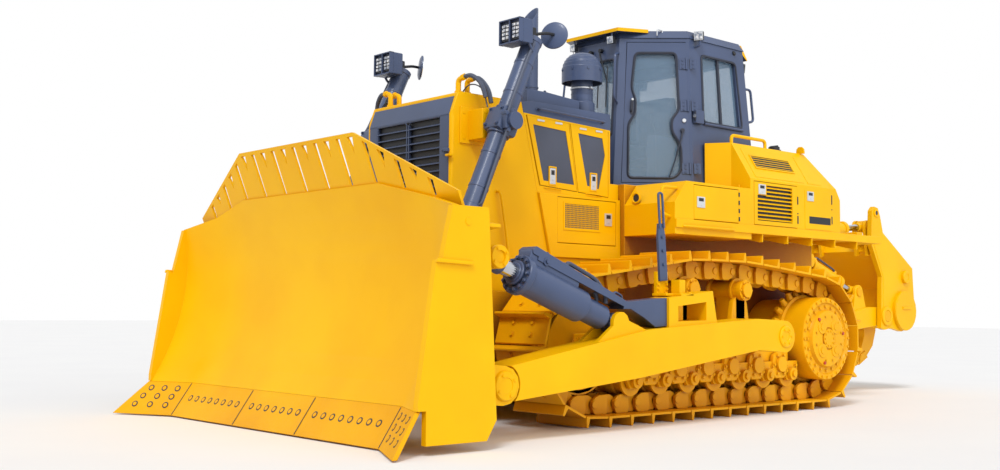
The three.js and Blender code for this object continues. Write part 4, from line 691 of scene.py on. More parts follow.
def eye(at, run, radius, half):
    """A rod's or barrel's eye with its bushing faces and pin ends."""
    centre, hole = at(run), radius * 0.5
    ring = turned([(hole, -half), (radius - 0.008, -half), (radius, -half + 0.01), (radius, half - 0.01),
                   (radius - 0.008, half), (hole, half), (hole, -half)], centre, ACROSS, 40)
    return [ring, bar(centre - ACROSS * (half + 0.004), centre + ACROSS * (half + 0.004), hole)]


def tilt_cylinder():
    """Barrel with its valve box, hoses and end, and the rod with its eye."""
    at = line_of(ARM_MID, TILT_PIN, TILT_EYE)
    heading = at(1) - at(0)
    face = 1.12
    barrel = [tube_between(at, 0.135, 0.42, 0.101), tube_between(at, 0.40, 1.075, 0.132),
              tube_between(at, 1.058, face, 0.158, 0.008), *eye(at, 0, 0.085, 0.064),
              tube_between(at, 0.05, 0.2, 0.06),
              tube_between(at, face - 0.005, face + 0.03, 0.1), tube_between(at, face, face + 0.04, 0.078),
              bolts(ring_points(at(face), heading, 0.132, 14), heading, 0.015, 0.022)]
    box = plate([(0.52, 0.10), (1.1, 0.10), (1.1, 0.205), (1.06, 0.235), (0.60, 0.235), (0.52, 0.19)], "x",
                -0.075, 0.075, 0.018)
    barrel += [laid_in(box, along(at)), bar(at(0.93, 0.17, 0.07), at(0.93, 0.17, 0.09), 0.032),
               bar(at(0.93, 0.17, 0.08), at(0.93, 0.17, 0.105), 0.016, sides=6)]
    lines = [pipe([at(0.66, 0.235, 0.02), at(0.66, 0.275, 0.02), at(0.32, 0.265, 0.02), at(0.16, 0.19, 0.02),
                   at(0.14, 0.12, 0.02)], 0.018, 0.06),
             pipe([at(0.6, 0.235, -0.03), at(0.6, 0.262, -0.03), at(0.34, 0.235, -0.03), at(0.2, 0.15, -0.03),
                   at(0.2, 0.08, -0.03)], 0.018, 0.06)]
    pair("tilt_barrel_body", "tilt_barrel_{}", [(together(barrel), SLATE), (together(lines), RUBBER)],
         ["tilt_barrel_{}"])
    reach = (Vector(TILT_EYE) - Vector(TILT_PIN)).length
    rod = [(tube_between(at, 0.6, reach - 0.06, 0.062), CHROME),
           (together([tube_between(at, reach - 0.155, reach - 0.02, 0.078),
                      *eye(at, reach, 0.08, 0.064)]), SLATE)]
    pair("tilt_rod_body", "tilt_rod_{}", rod, ["tilt_rod_{}"])


def head_lamp():
    """The double lamp on a lift cylinder's head: its housing, its two frames and their cells."""
    low, high, rib = Vector((LIFT_X - 0.15, -2.42, 3.27)), Vector((LIFT_X + 0.12, -2.26, 3.485)), 0.012
    brow = low.y + 0.05
    housing = [block(low + Vector((0, 0.03, 0)), high, 0.012)]
    housing += [block((low.x, low.y, z), (high.x, brow, z + rib), 0.003) for z in (low.z, high.z - rib)]
    housing += [block((x, low.y, low.z), (x + rib, brow, high.z), 0.003)
                for x in (low.x, high.x - rib, LIFT_X - 0.021)]
    frames, cells = [], []
    for x in (low.x + 0.072, high.x - 0.066):
        frames.append(block((x - 0.055, low.y + 0.018, low.z + 0.03),
                            (x + 0.055, low.y + 0.036, high.z - 0.03)))
        for row in range(4):
            z = low.z + 0.047 + 0.034 * row
            cells += [block((x + side - 0.019, low.y + 0.012, z),
                            (x + side + 0.019, low.y + 0.022, z + 0.025)) for side in (-0.024, 0.024)]
    return housing, frames, cells


def lift_cylinder():
    """Barrel in its collar, with pipes, lamp and mirror, and the rod with its eye."""
    at = line_of(LIFT_X, LIFT_YOKE, LIFT_EYE)
    heading = at(1) - at(0)
    collar = plate([(-0.11, -0.112), (0.11, -0.112), (0.125, 0), (0.11, 0.112), (-0.11, 0.112), (-0.125, 0)],
                   "x", -0.106, 0.106, 0.03)
    slate = [tube_between(at, -0.85, 0.85, 0.084), laid_in(collar, along(at)),
             tube_between(at, -0.85, -0.80, 0.09), tube_between(at, 0.80, 0.85, 0.092),
             tube_between(at, -0.13, -0.10, 0.1), tube_between(at, 0.1, 0.13, 0.1),
             bar((LIFT_X + 0.09, *LIFT_YOKE), (LIFT_X + 0.182, *LIFT_YOKE), 0.075),
             bar((LIFT_X - 0.112, *LIFT_YOKE), (LIFT_X - 0.085, *LIFT_YOKE), 0.075),
             bolts(ring_points(at(0.85), heading, 0.068, 8), heading, 0.009, 0.012),
             bolts([at(run, 0.112, side) for run in (-0.075, 0.075) for side in (-0.07, 0.07)],
                   at(0, 1) - at(0), 0.012, 0.014)]
    slate += [block(at(0.02, 0.04, 0.07) - Vector((0, 0.05, 0.07)),
                    at(0.02, 0.04, 0.15) + Vector((0, 0.07, 0.07)), 0.01),
              bar(at(-0.02, 0.10, 0.10), at(-0.02, 0.10, 0.155), 0.02, sides=6),
              bar(at(0.10, 0.02, 0.10), at(0.10, 0.02, 0.155), 0.02, sides=6)]
    tubes = [pipe([at(0.06, 0.03, 0.14), at(0.14, 0.02, 0.125), at(0.5, 0.0, 0.108), at(0.78, -0.01, 0.108),
                   at(0.8, 0, 0.085)], 0.013, 0.05),
             pipe([at(-0.04, 0.07, 0.12), at(-0.16, 0.06, 0.1), at(-0.6, 0.05, 0.088), at(-0.77, 0.04, 0.088),
                   at(-0.79, 0.03, 0.07)], 0.013, 0.05)]
    for run in (0.3, 0.62, -0.3, -0.6):
        slate.append(tube_between(at, run, run + 0.025, 0.088, 0.003))
    housing, frames, cells = head_lamp()
    slate += [*housing, bar(at(-0.78, 0, 0), at(-0.78, 0.2, 0), 0.04),
              pipe([at(-0.70, 0, 0.06), at(-0.70, 0.05, 0.1), Vector((LIFT_X + 0.1, -2.30, 3.29))], 0.012)]
    disc, facing = Vector((LIFT_X + 0.03, -1.93, 3.42)), Vector((-0.5, 0.84, -0.1))
    slate.append(turned([(0, 0), (0.095, 0.002), (0.122, 0.014), (0.125, 0.026), (0.118, 0.03), (0, 0.03)],
                        disc, facing))
    mirror = turned([(0, 0.031), (0.116, 0.031), (0.116, 0.034), (0, 0.034)], disc, facing)
    clamp = [block(at(-0.83, 0.07, -0.03), at(-0.83, 0.07, -0.03) + Vector((0.07, 0.08, 0.09)), 0.012),
             pipe([at(-0.83, 0.10), disc + Vector((0, -0.08, 0)), disc], 0.014, 0.03),
             bolts([at(-0.80, 0.12, 0.02), at(-0.86, 0.12, 0.02)], ACROSS, 0.012, 0.03)]
    pair("lift_barrel_body", "lift_barrel_{}",
         [(together(slate), SLATE), (together(tubes), RUBBER), (together(frames + clamp), BLACK),
          (together(cells), LAMP), (mirror, MIRROR)], ["lift_barrel_{}"])
    reach = (Vector(LIFT_EYE) - Vector(LIFT_YOKE)).length
    rod = [(tube_between(at, 0.5, reach - 0.05, 0.045, 0.003), CHROME),
           (together([tube_between(at, reach - 0.13, reach - 0.03, 0.06),
                      *eye(at, reach, 0.08, 0.05)]), SLATE)]
    pair("lift_rod_body", "lift_rod_{}", rod, ["lift_rod_{}"])


tilt_cylinder()
lift_cylinder()


# ---------------------------------------------------------------- blade and push arms
def blade_trim():
    """Toe and corner plates and pin rings on the blade's sides."""
    outer = BLADE_SIDE
    yellow = [plate([(-4.07, 1.305), (-3.76, 1.293), (-3.74, 1.32), (-4.06, 1.335)], "x",
                    outer - 0.01, outer + 0.028, 0.008),
              bar((outer - 0.004, -3.78, 1.60), (outer + 0.006, -3.78, 1.60), 0.028),
              plate([(1.90, 1.62), (2.03, 1.60), (2.03, 1.575), (1.90, 1.56)], "y", -3.66, -3.46, 0.004)]
    rings = [(ARM_OUT, ARM_PIN, 0.112, 0.030), (ARM_OUT, TILT_EYE, 0.09, 0.030)]
    for x, centre, radius, depth in rings:
        yellow.append(turned([(0, 0), (radius, 0), (radius, depth * 0.6), (radius * 0.92, depth),
                              (radius * 0.55, depth), (radius * 0.5, depth * 0.5), (0, depth * 0.5)],
                             (x - 0.005, *centre), ACROSS))
        yellow.append(bolts(ring_points((x + depth - 0.006, *centre), ACROSS, radius * 0.74, 4, 0.5),
                            ACROSS, 0.010, 0.010))
    pair("blade_trim", "blade", [(together(yellow), YELLOW)])


def edge_bolts():
    """Plough bolts along the cutting edge and the end bits."""
    fold = 1.59  # where the middle edge meets the end bits
    tip, foot = Vector((0, -4.19, 0.012)), Vector((0, -3.99, 0.30))
    end_tip, end_foot = Vector((2.16, -4.49, 0.012)), Vector((2.03, -4.206, 0.30))
    slope = (foot - tip).normalized()
    away = Vector((0, -slope.z, slope.y))
    spots = [tip.lerp(foot, 0.56) + ACROSS * n * 0.12 for n in range(-12, 13) if abs(n) != 4]
    corner = Vector((fold, 0, 0))
    for side in (-1, 1):
        for share, out in ((a, b) for a in (0.3, 0.55, 0.8) for b in (0.22, 0.5, 0.78)):
            spot = (tip + corner).lerp(end_tip, out).lerp((foot + corner).lerp(end_foot, out), share)
            spots.append(Vector((spot.x * side, spot.y, spot.z)))
    heads, rims, seams = [], [], []
    steel = frame["nodes"]["cutting_edge"].data
    faces = BVHTree.FromPolygons([vert.co for vert in steel.vertices],
                                 [face.vertices for face in steel.polygons])
    to_frame = ALONG * DATUM
    for near in spots:
        spot, facing, *_ = faces.find_nearest(near + to_frame)
        spot = spot - to_frame
        rims.append(bar(spot - facing * 0.004, spot + facing * 0.0022, 0.030, sides=20, bevel=0))
        heads.append(bar(spot - facing * 0.004, spot + facing * 0.0045, 0.020, sides=20, bevel=0.002))
    low, high = tip.lerp(foot, 0.03) + away * 0.002, tip.lerp(foot, 0.97) + away * 0.002
    for x in (-0.48, 0.48, -fold, fold):
        seams.append(bar(low + ACROSS * x, high + ACROSS * x, 0.0035, sides=8, bevel=0))
    piece("edge_bolts", "blade", [(together(heads), DEEP_YELLOW), (together(rims + seams), GASKET)])


def arm_trim():
    """Pin covers, the post's foot and the guard's bolts and handle on the push arm."""
    x = ARM_MID
    yellow = [turned([(0, 0), (0.1, 0), (0.1, 0.012), (0.09, 0.02), (0.05, 0.02), (0.045, 0.012), (0, 0.012)],
                     (ARM_OUT - 0.001, *TRUNNION), ACROSS, 40),
              bolts(ring_points((ARM_OUT + 0.018, *TRUNNION), ACROSS, 0.07, 6), ACROSS, 0.01, 0.01),
              block((x - 0.11, -1.19, 1.118), (x + 0.11, -1.02, 1.14), 0.006),
              bolts([(x + a, y, 1.139) for a in (-0.08, 0.08) for y in (-1.165, -1.045)], UP, 0.014, 0.016),
              block((x - 0.05, -1.14, 1.13), (x + 0.05, -1.06, 1.26), 0.008)]
    pair("arm_trim", "push_arms", [(together(yellow), YELLOW)])
    slope = Vector((0, 1.03, -0.413)).normalized()
    across_slope = Vector((0, 0.413, 1.03)).normalized()

    def top(run):
        return Vector((x, -2.84, 1.463)) + slope * run

    slate = [bolts([top(run) + ACROSS * side for run in (0.12, 0.32, 0.52, 0.72, 0.92)
                    for side in (-0.045, 0.045)], across_slope, 0.014, 0.016),
             pipe([top(0.98), top(0.98) + across_slope * 0.05, top(1.08) + across_slope * 0.05,
                   top(1.08)], 0.01, 0.03)]
    pair("guard_trim", "push_arms", [(together(slate), SLATE)])


def marker_post():
    """The flat upright on the arm with a narrow loop on top and its yellow foot bracket."""
    x, lean = 1.62, Vector((0, -0.06, 0.81))
    foot = Vector((x, -1.20, 1.13))

    def at(rise, y=0.0, side=0.0):
        return foot + lean.normalized() * rise + ALONG * y + ACROSS * side

    strip = plate([(-0.05, 0.12), (0.05, 0.12), (0.048, 0.5), (0.03, 0.62), (-0.03, 0.62),
                   (-0.048, 0.5)], "x", -0.014, 0.014, 0.004)
    tip = Matrix.Translation(foot) @ Matrix.Rotation(math.atan2(0.06, 0.81), 4, "X")
    loop = pipe([at(0.58, -0.026, 0.018), at(0.885, -0.026, 0.018), at(0.885, 0.026, 0.018),
                 at(0.58, 0.026, 0.018)], 0.011, 0.024)
    studs = bolts([at(rise, 0, 0.014) for rise in (0.26, 0.38, 0.50)], ACROSS, 0.011, 0.012)
    bracket = [block(foot + Vector((-0.05, -0.075, -0.01)), foot + Vector((-0.012, 0.075, 0.2)), 0.006),
               block(foot + Vector((-0.06, -0.085, -0.012)), foot + Vector((0.10, 0.085, 0.012)), 0.005)]
    feet = bolts([at(rise, y, -0.012) for rise in (0.05, 0.09) for y in (-0.055, 0.055)], ACROSS,
                 0.012, 0.014)
    pair("marker_post", "push_arms", [(together([moved(strip, tip), loop, studs]), SLATE),
                                      (together([*bracket, feet]), YELLOW)])


blade_trim()
edge_bolts()
arm_trim()
marker_post()


# ---------------------------------------------------------------- nose and hood
def ring_plate(outer, hole, axis, start, end):
    """A plate with one opening through it."""
    order = LAID[axis]
    bm = bmesh.new()
    edges = []
    for loop in (outer, hole):
        corners = [bm.verts.new(order(u, v, start)) for u, v in loop]
        edges += [bm.edges.new(two) for two in zip(corners, corners[1:] + corners[:1])]
    faces = bmesh.ops.bridge_loops(bm, edges=edges)["faces"]
    grown = bmesh.ops.extrude_face_region(bm, geom=faces)["geom"]
    ends = [item for item in grown if isinstance(item, bmesh.types.BMVert)]
    bmesh.ops.translate(bm, verts=ends, vec=order(0, 0, end - start))
    bmesh.ops.recalc_face_normals(bm, faces=bm.faces[:])
    return softened(bm, [edge for edge in bm.edges if edge.calc_face_angle(0) > 0.5], 0.0015)


def latch(x, y, z, half=0.032, height=0.055):
    """A flush paddle latch: pale body, dark finger pocket and lock."""
    pale = together([block((x, y - half, z - height), (x + 0.009, y + half, z + height), 0.003),
                     bar((x + 0.008, y, z - height * 0.45), (x + 0.014, y, z - height * 0.45), 0.009,
                         sides=16)])
    pocket = block((x + 0.006, y - half * 0.6, z + height * 0.15),
                   (x + 0.011, y + half * 0.6, z + height * 0.75))
    return [(pale, SILVER), (pocket, BLACK)]


def grille():
    """Slanted fins between two rails, a double middle bar, and the fascia over them."""
    front, half, rail = NOSE_FRONT, 0.585, 0.465
    low, high, fins = 1.37, 2.645, 19
    bars = []
    for row in range(1, fins):
        z = low + (high - low) / fins * row
        bars.append(plate([(front + 0.002, z - 0.005), (front + 0.002, z + 0.004), (front + 0.03, z + 0.016),
                           (front + 0.03, z + 0.007)], "x", -0.47, 0.47, 0.001))
    for x in (-0.014, 0.014):
        bars.append(block((x - 0.006, front, 1.36), (x + 0.006, front + 0.03, 2.62), 0.002))
        bars.append(pipe([(x, front + 0.006, 2.60), (x * 1.1, front + 0.006, 2.625),
                          (x * 3.6, front + 0.006, 2.65)], 0.005, 0.02, 8))
    for (left, right), (inner, outer) in (((-half, -rail), (-0.47, -0.455)), ((rail, half), (0.455, 0.47))):
        bars.append(block((left, front, 1.331), (right, front + 0.058, 2.66), 0.008))
        bars.append(block((inner, front + 0.004, 1.36), (outer, front + 0.03, 2.66), 0.002))
    bars.append(block((-half, front, 1.331), (half, front + 0.058, 1.372), 0.006))
    fascia = plate([(front, 2.648), (front, 2.662), (front + 0.055, 2.818), (front + 0.058, 2.818),
                    (front + 0.058, 2.648)], "x", -half, half, 0.003)
    welt = plate([(front + 0.004, 2.64), (front, 2.652), (front + 0.02, 2.652), (front + 0.02, 2.64)],
                 "x", -half, half, 0.002)
    # Partly painted shade: the black block behind the fins stands for the mesh there and for the shade inside
    # the nose.
    back = block((-0.47, front + 0.034, 1.35), (0.47, front + 0.055, 2.65))
    piece("grille_bars", "tractor", [(together(bars + [fascia, welt]), SLATE), (back, BLACK)], ["grille"])


def grille_latch():
    slate = [block((0.545, -2.822, 2.325), (0.60, -2.788, 2.36), 0.008),
             bar((0.545, -2.81, 2.342), (0.53, -2.81, 2.342), 0.014, sides=16)]
    tab = block((0.585, -2.83, 2.285), (0.645, -2.785, 2.305), 0.006)
    piece("grille_latch", "tractor", [(together(slate), SLATE), (tab, YELLOW)])


# For each door: its outline, its screen's outline, and its latch, in y and z.
HOOD_DOORS = {
    "hood_front_door": ([(-1.738, 2.123), (-1.268, 2.097), (-1.378, 2.727), (-1.911, 2.747)],
                        [(-1.699, 2.166), (-1.302, 2.156), (-1.416, 2.65), (-1.834, 2.67)],
                        (-1.586, 2.215)),
    "hood_rear_door": ([(-1.246, 2.0955), (-0.844, 2.0727), (-0.844, 2.45), (-0.844, 2.7088),
                        (-1.354, 2.7272)],
                       [(-1.128, 2.162), (-0.969, 2.14), (-0.884, 2.474), (-0.921, 2.635), (-1.25, 2.651)],
                       (-1.045, 2.20)),
}


def around(y, z, half, below, above):
    return [(y - half, z - below), (y + half, z - below), (y + half, z + above), (y - half, z + above)]


def hood_doors():
    """Door leaves with their screens, latches and hinges."""
    side = HULL_SIDE
    for name, (outer, window, (y, z)) in HOOD_DOORS.items():
        leaf = [ring_plate(outer, window, "x", side - 0.02, side),
                ring_plate(around(y, z, 0.047, 0.085, 0.09), around(y, z, 0.036, 0.074, 0.077),
                           "x", side - 0.012, side + 0.006)]
        head = [point for point in outer if point[1] > 2.6]
        spots = [head[0][0] + (head[1][0] - head[0][0]) * share for share in (0.25, 0.68)]
        hinges = [block((side - 0.001, spot - 0.045, head[0][1] - 0.022),
                        (side + 0.007, spot + 0.045, head[0][1] - 0.004), 0.003) for spot in spots]
        screen = plate(window, "x", side - 0.014, side - 0.007, 0)
        lip = pipe([(side + 0.002, y - 0.11, z - 0.115), (side + 0.014, y - 0.08, z - 0.112),
                    (side + 0.014, y + 0.08, z - 0.118), (side + 0.002, y + 0.11, z - 0.121)], 0.005, 0.02, 8)
        pair(f"{name}_leaf", name + "_{}",
             [(together(leaf + [lip]), YELLOW), (screen, DARK_SCREEN), (together(hinges), SILVER),
              *latch(side - 0.003, y, z, 0.035, 0.073)], [name + "_{}"])


def service_door_trim():
    """The wire screen and the latch of the door in the service box."""
    door = BOX_SIDE
    mesh = [ring_plate([(-1.475, 1.725), (-0.985, 1.725), (-0.985, 1.99), (-1.475, 1.99)],
                       [(-1.455, 1.745), (-1.005, 1.745), (-1.005, 1.97), (-1.455, 1.97)], "x", door - 0.002,
                       door + 0.006)]
    wires = [bar((door + 0.003, -1.455 + 0.018 * i, 1.745), (door + 0.003, -1.455 + 0.018 * i, 1.97),
                 0.0028, sides=6, bevel=0) for i in range(26)]
    wires += [bar((door + 0.003, -1.455, 1.745 + 0.018 * i),
                  (door + 0.003, -1.005, 1.745 + 0.018 * i), 0.0028, sides=6, bevel=0) for i in range(13)]
    # Painted shade: the dark block behind the wires stands for the shade inside the box.
    dark = block((door - 0.002, -1.456, 1.744), (door + 0.001, -1.004, 1.971))
    pair("service_door_trim", "service_door_{}",
         [(together(mesh + wires), YELLOW), (dark, DARK_SCREEN),
          *latch(door - 0.001, -0.875, 1.851, 0.048, 0.06)])


def hood_trim():
    """Hand rails and bolts along the hood's top."""
    front, rear = (-1.78, 2.812), (-0.93, 2.786)
    rail = [pipe([(0.61, *front), (0.668, *front), (0.668, *rear), (0.61, *rear)], 0.011, 0.04),
            *(bar((0.617, *end), (0.624, *end), 0.024, sides=20) for end in (front, rear))]
    pair("hood_rail", "tractor", [(together(rail), SLATE)])
    seam_bolts = bolts([(x, y, 2.879) for x in (-0.56, 0.56) for y in (-1.75, -1.45, -1.15, -0.88)],
                       UP, 0.012, 0.012)
    piece("hood_bolts", "tractor", [(seam_bolts, SLATE)])


def exhaust():
    """The slant-cut stack, its box cover and bands."""
    x, y, foot = 0.35, -1.64, HOOD_TOP
    stack = turned([(0, 0), (0.084, 0), (0.084, 1.2), (0.077, 1.2), (0.077, 0.42), (0, 0.42)],
                   (x, y, foot), UP)
    cut = bmesh.ops.bisect_plane(stack, geom=stack.verts[:] + stack.edges[:] + stack.faces[:],
                                 plane_co=(x, y + 0.084, 3.849), plane_no=(0, -0.23, 0.178), clear_outer=True)
    rim = [item for item in cut["geom_cut"] if isinstance(item, bmesh.types.BMEdge)]
    bmesh.ops.bridge_loops(stack, edges=rim)
    bmesh.ops.recalc_face_normals(stack, faces=stack.faces[:])
    cover = plate([(y - 0.13, foot), (-1.08, foot), (-1.08, 3.0), (y + 0.12, 3.03), (y - 0.13, 3.03)],
                  "x", x - 0.12, x + 0.12, 0.014)
    bands = [turned([(0.083, 0), (0.09, 0), (0.09, 0.012), (0.083, 0.012)], (x, y, z), UP)
             for z in (3.06, 3.42)]
    feet = bolts([(x + a, b, foot + 0.15) for a in (-0.1, 0.1) for b in (-1.745, -1.53)], UP, 0.011, 0.012)
    # Painted shade: the black disc closing the bore stands for the dark depth of the pipe.
    inside = bar((x, y, foot + 0.425), (x, y, foot + 0.43), 0.076, bevel=0)
    piece("exhaust_stack", "tractor", [(together([stack, cover, *bands, feet]), SLATE),
                                       (inside, BLACK)], ["exhaust"])


def precleaner():
    """The bowl with its studs, straps and clamp."""
    x, y, foot = 0.35, -0.93, HOOD_TOP
    bowl = turned([(0, 0), (0.125, 0), (0.125, 0.118), (0.122, 0.127), (0.108, 0.133), (0.105, 0.29),
                   (0.105, 0.36), (0.187, 0.372), (0.192, 0.325), (0.2, 0.325), (0.2, 0.468),
                   (0.197, 0.478), (0.192, 0.482), (0.189, 0.512), (0.181, 0.518), (0.175, 0.543),
                   (0.165, 0.549), (0.156, 0.57), (0.144, 0.576), (0.131, 0.594), (0.1, 0.61),
                   (0.055, 0.623), (0, 0.628)], (x, y, foot), UP, 64)
    studs = []
    for point in ring_points((x, y, foot + 0.445), UP, 0.195, 8, 0.3):
        out = Vector((point.x - x, point.y - y, 0)).normalized()
        studs.append(bar(point, point + out * 0.013, 0.012, sides=12, bevel=0.002))
    clamp = [turned([(0.105, 0), (0.113, 0), (0.115, 0.006), (0.113, 0.014), (0.105, 0.014)],
                    (x, y, foot + 0.262), UP),
             block((x + 0.105, y - 0.012, foot + 0.259), (x + 0.135, y + 0.012, foot + 0.279))]
    straps = [turned([(0.104, 0), (0.109, 0), (0.109, 0.01), (0.104, 0.01)], (x, y, foot + z), UP)
              for z in (0.15, 0.21)]
    piece("precleaner_bowl", "tractor", [(together([bowl, *studs, *straps]), SLATE),
                                         (together(clamp), SILVER)], ["precleaner"])


def nose_lines():
    """Elbows and hoses from the nose to the lift cylinders' trunnions."""
    elbows = []
    for y in (-2.62, -2.52):
        elbows += [pipe([(0.5, y, 2.85), (0.5, y, 2.985), (0.565, y, 3.0)], 0.024, 0.03),
                   bar((0.5, y, 2.858), (0.5, y, 2.888), 0.036, sides=6),
                   bar((0.555, y, 2.998), (0.59, y, 3.004), 0.031, sides=6)]
    hoses = [pipe([(0.585, -2.62, 3.004), (0.67, -2.61, 3.01), (0.77, -2.585, 2.93), (0.80, -2.56, 2.80)],
                  0.02, 0.08),
             pipe([(0.585, -2.52, 3.004), (0.68, -2.52, 2.99), (0.77, -2.50, 2.88), (0.79, -2.49, 2.76)],
                  0.02, 0.08)]
    wires = [pipe([(0.48, -2.57, 2.87), (0.6, -2.58, 2.95), (0.75, -2.55, 2.90), (0.79, -2.53, 2.72)],
                  0.006, 0.1, 8)]
    pair("lift_hoses", "tractor", [(together(hoses + wires), RUBBER), (together(elbows), YELLOW)])
    yoke = [bolts([(0.804, y, z) for y in (-2.58, -2.42) for z in (2.47, 2.67)], ACROSS, 0.018, 0.02),
            bolts([(0.62, y, z) for y in (-2.66, -2.34) for z in (2.46, 2.68)], ACROSS, 0.016, 0.018)]
    plates = [block((0.618, -2.70, 2.41), (0.634, -2.30, 2.73), 0.006)]
    pair("yoke_trim", "tractor", [(together(yoke + plates), YELLOW)])


def nose_handle():
    rail = pipe([(0.60, -2.27, 2.02), (0.675, -2.27, 2.02), (0.675, -2.2, 1.66), (0.675, -2.16, 1.42),
                 (0.60, -2.16, 1.42)], 0.011, 0.05)
    pair("nose_handle", "tractor", [(rail, YELLOW)])


grille()
grille_latch()
hood_doors()
service_door_trim()
hood_trim()
exhaust()
precleaner()
nose_lines()
nose_handle()


# ---------------------------------------------------------------- cab
CAB_FOOT, CAB_HEAD = 2.2456, 3.76  # floor's top and the walls' top
# Each corner of the walls: its place (x, y) at the foot and at the head.
FRONT_POST = ((0.35, -0.48), (0.315, -0.352))
DOOR_POST = ((0.86, 0.155), (0.80, 0.155))
REAR_POST = ((0.86, 1.18), (0.80, 1.05))
DOOR_FOOT, DOOR_HEAD = 2.2716, 3.714
DOOR_FRONT, DOOR_REAR = 0.081, 0.0303  # wall left at the door's two edges


def other_side(post):
    return tuple((-x, y) for x, y in post)


def wall_of(first, second):
    """Places on a cab wall between two posts: run along it, height, and distance out of its face.

    With share, the run is a share of the door leaf's width.
    """
    def at(run, z, out=0.0, share=False):
        rise = (z - CAB_FOOT) / (CAB_HEAD - CAB_FOOT)
        start, end = (Vector(post[0]).lerp(Vector(post[1]), rise) for post in (first, second))
        heading = (end - start).normalized()
        reach = run
        if share:
            reach = DOOR_FRONT + run * ((end - start).length - DOOR_FRONT - DOOR_REAR)
        place = start + heading * reach + Vector((heading.y, -heading.x)) * out
        return Vector((place.x, place.y, z))
    return at


def rounded(outline, reach):
    """A closed flat outline with eased corners."""
    points = [Vector((u, v, 0)) for u, v in outline]
    route = []
    for before, corner, after in zip(points[-1:] + points[:-1], points, points[1:] + points[:1]):
        route += [(point.x, point.y) for point in eased_corner(before, corner, after, reach)]
    return route


def sheet(loops, depth):
    """A flat or slightly twisted sheet inside the first loop and outside the others, with a thickness."""
    bm = bmesh.new()
    edges = []
    for loop in loops:
        corners = [bm.verts.new(point) for point in loop]
        edges += [bm.edges.new(two) for two in zip(corners, corners[1:] + corners[:1])]
    bmesh.ops.triangle_fill(bm, edges=edges, use_beauty=True, use_dissolve=False)
    grown = bmesh.ops.extrude_face_region(bm, geom=bm.faces[:])["geom"]
    ends = [item for item in grown if isinstance(item, bmesh.types.BMVert)]
    bmesh.ops.translate(bm, verts=ends, vec=depth)
    bmesh.ops.recalc_face_normals(bm, faces=bm.faces[:])
    return bm


def outward(at, run, z):
    """The way out of a cab wall at a place."""
    return at(run, z, 1) - at(run, z)


def window(at, outline):
    """A pane and its rubber surround on a cab wall, from (run, height) corners already eased."""
    into = -outward(at, *outline[0])
    pane = sheet([[at(run, z, -0.03) for run, z in outline]], into * 0.006)
    route = [at(run, z, 0.001) for run, z in outline]
    seal = pipe([*route, route[0], route[1]], 0.013, 0.002, 8)
    return [(seal, GASKET), (pane, GLASS)]


# Corners of the door's glass: share across the leaf, share up the leaf.
DOOR_GLASS = [(0.235, 0.032), (0.767, 0.032), (0.870, 0.09), (0.873, 0.237), (0.845, 0.285), (0.735, 0.365),
              (0.735, 0.45), (0.855, 0.515), (0.83, 0.924), (0.14, 0.924), (0.098, 0.67), (0.172, 0.59),
              (0.172, 0.486), (0.07, 0.42), (0.09, 0.032)]


def cab_door():
    """Leaf, glass and seal, handle, locks, wiper and hinges of a cab door."""
    at = wall_of(FRONT_POST, DOOR_POST)
    wide, tall = 0.65, DOOR_HEAD - DOOR_FOOT
    metres = rounded([(u * wide, t * tall) for u, t in DOOR_GLASS], 0.055)
    hole = [at(u / wide, DOOR_FOOT + v, 0, True) for u, v in metres]
    steps = [i / 8 for i in range(8)]
    edge = ([(share, DOOR_FOOT) for share in steps] + [(1, DOOR_FOOT + tall * share) for share in steps]
            + [(1 - share, DOOR_HEAD) for share in steps]
            + [(0, DOOR_HEAD - tall * share) for share in steps])
    into = -outward(at, 0.35, 3.0)
    leaf = sheet([[at(u, z, 0, True) for u, z in edge], hole], into * 0.058)
    pane = sheet([[point + into * 0.03 for point in hole]], into * 0.006)
    seal = pipe([*hole, hole[0], hole[1]], 0.014, 0.002, 8)

    def place(share, up, out=0.0):
        return at(share, DOOR_FOOT + up * tall, out, True)

    hollow = [(0.085, 0.49), (0.125, 0.475), (0.14, 0.50), (0.14, 0.575), (0.12, 0.60), (0.09, 0.585)]
    pocket = sheet([[place(u, t, 0.002) for u, t in rounded(hollow, 0.02)]], into * -0.006)
    pull = pipe([place(0.10, 0.50), place(0.10, 0.505, 0.03), place(0.105, 0.575, 0.03),
                 place(0.105, 0.58)], 0.008, 0.02)
    lock = bar(place(0.12, 0.588, 0.002), place(0.12, 0.588, 0.016), 0.012, sides=20)
    small_lock = bar(place(0.93, 0.44), place(0.93, 0.44, 0.018), 0.02, sides=20)
    wiper = [bar(place(0.90, 0.37), place(0.90, 0.37, 0.03), 0.02, sides=16),
             pipe([place(0.90, 0.37, 0.024), place(0.86, 0.29, 0.034), place(0.80, 0.21, 0.034)],
                  0.008, 0.05, 8),
             pipe([place(0.83, 0.25, 0.016), place(0.78, 0.16, 0.012), place(0.69, 0.04, 0.012)],
                  0.007, 0.05, 8)]
    hinges, posts = [], []
    for t in (0.10, 0.545, 0.845):
        for run, group in ((0.93, hinges), (1.105, posts)):
            foot, head = place(run, t - 0.037, 0.001), place(run, t + 0.037, 0.001)
            half = (place(run + 0.05, t) - place(run - 0.05, t)) / 2
            group.append(sheet([[foot - half, foot + half, head + half, head - half]], into * -0.009))
            group.append(bolts([foot.lerp(head, s) - into * 0.009 for s in (0.15, 0.5, 0.85)], -into,
                               0.009, 0.008))
        hinges.append(bar(place(0.995, t - 0.04, 0.008), place(0.995, t + 0.04, 0.008), 0.012, sides=16))
    pair("cab_door_leaf", "cab_door_{}",
         [(together([leaf, *hinges]), SLATE), (together([seal, *wiper, pocket, pull]), GASKET), (pane, GLASS),
          (together([lock, small_lock]), SILVER)], ["cab_door_{}"])
    pair("door_hinge_plate", "tractor", [(together(posts), SLATE)])


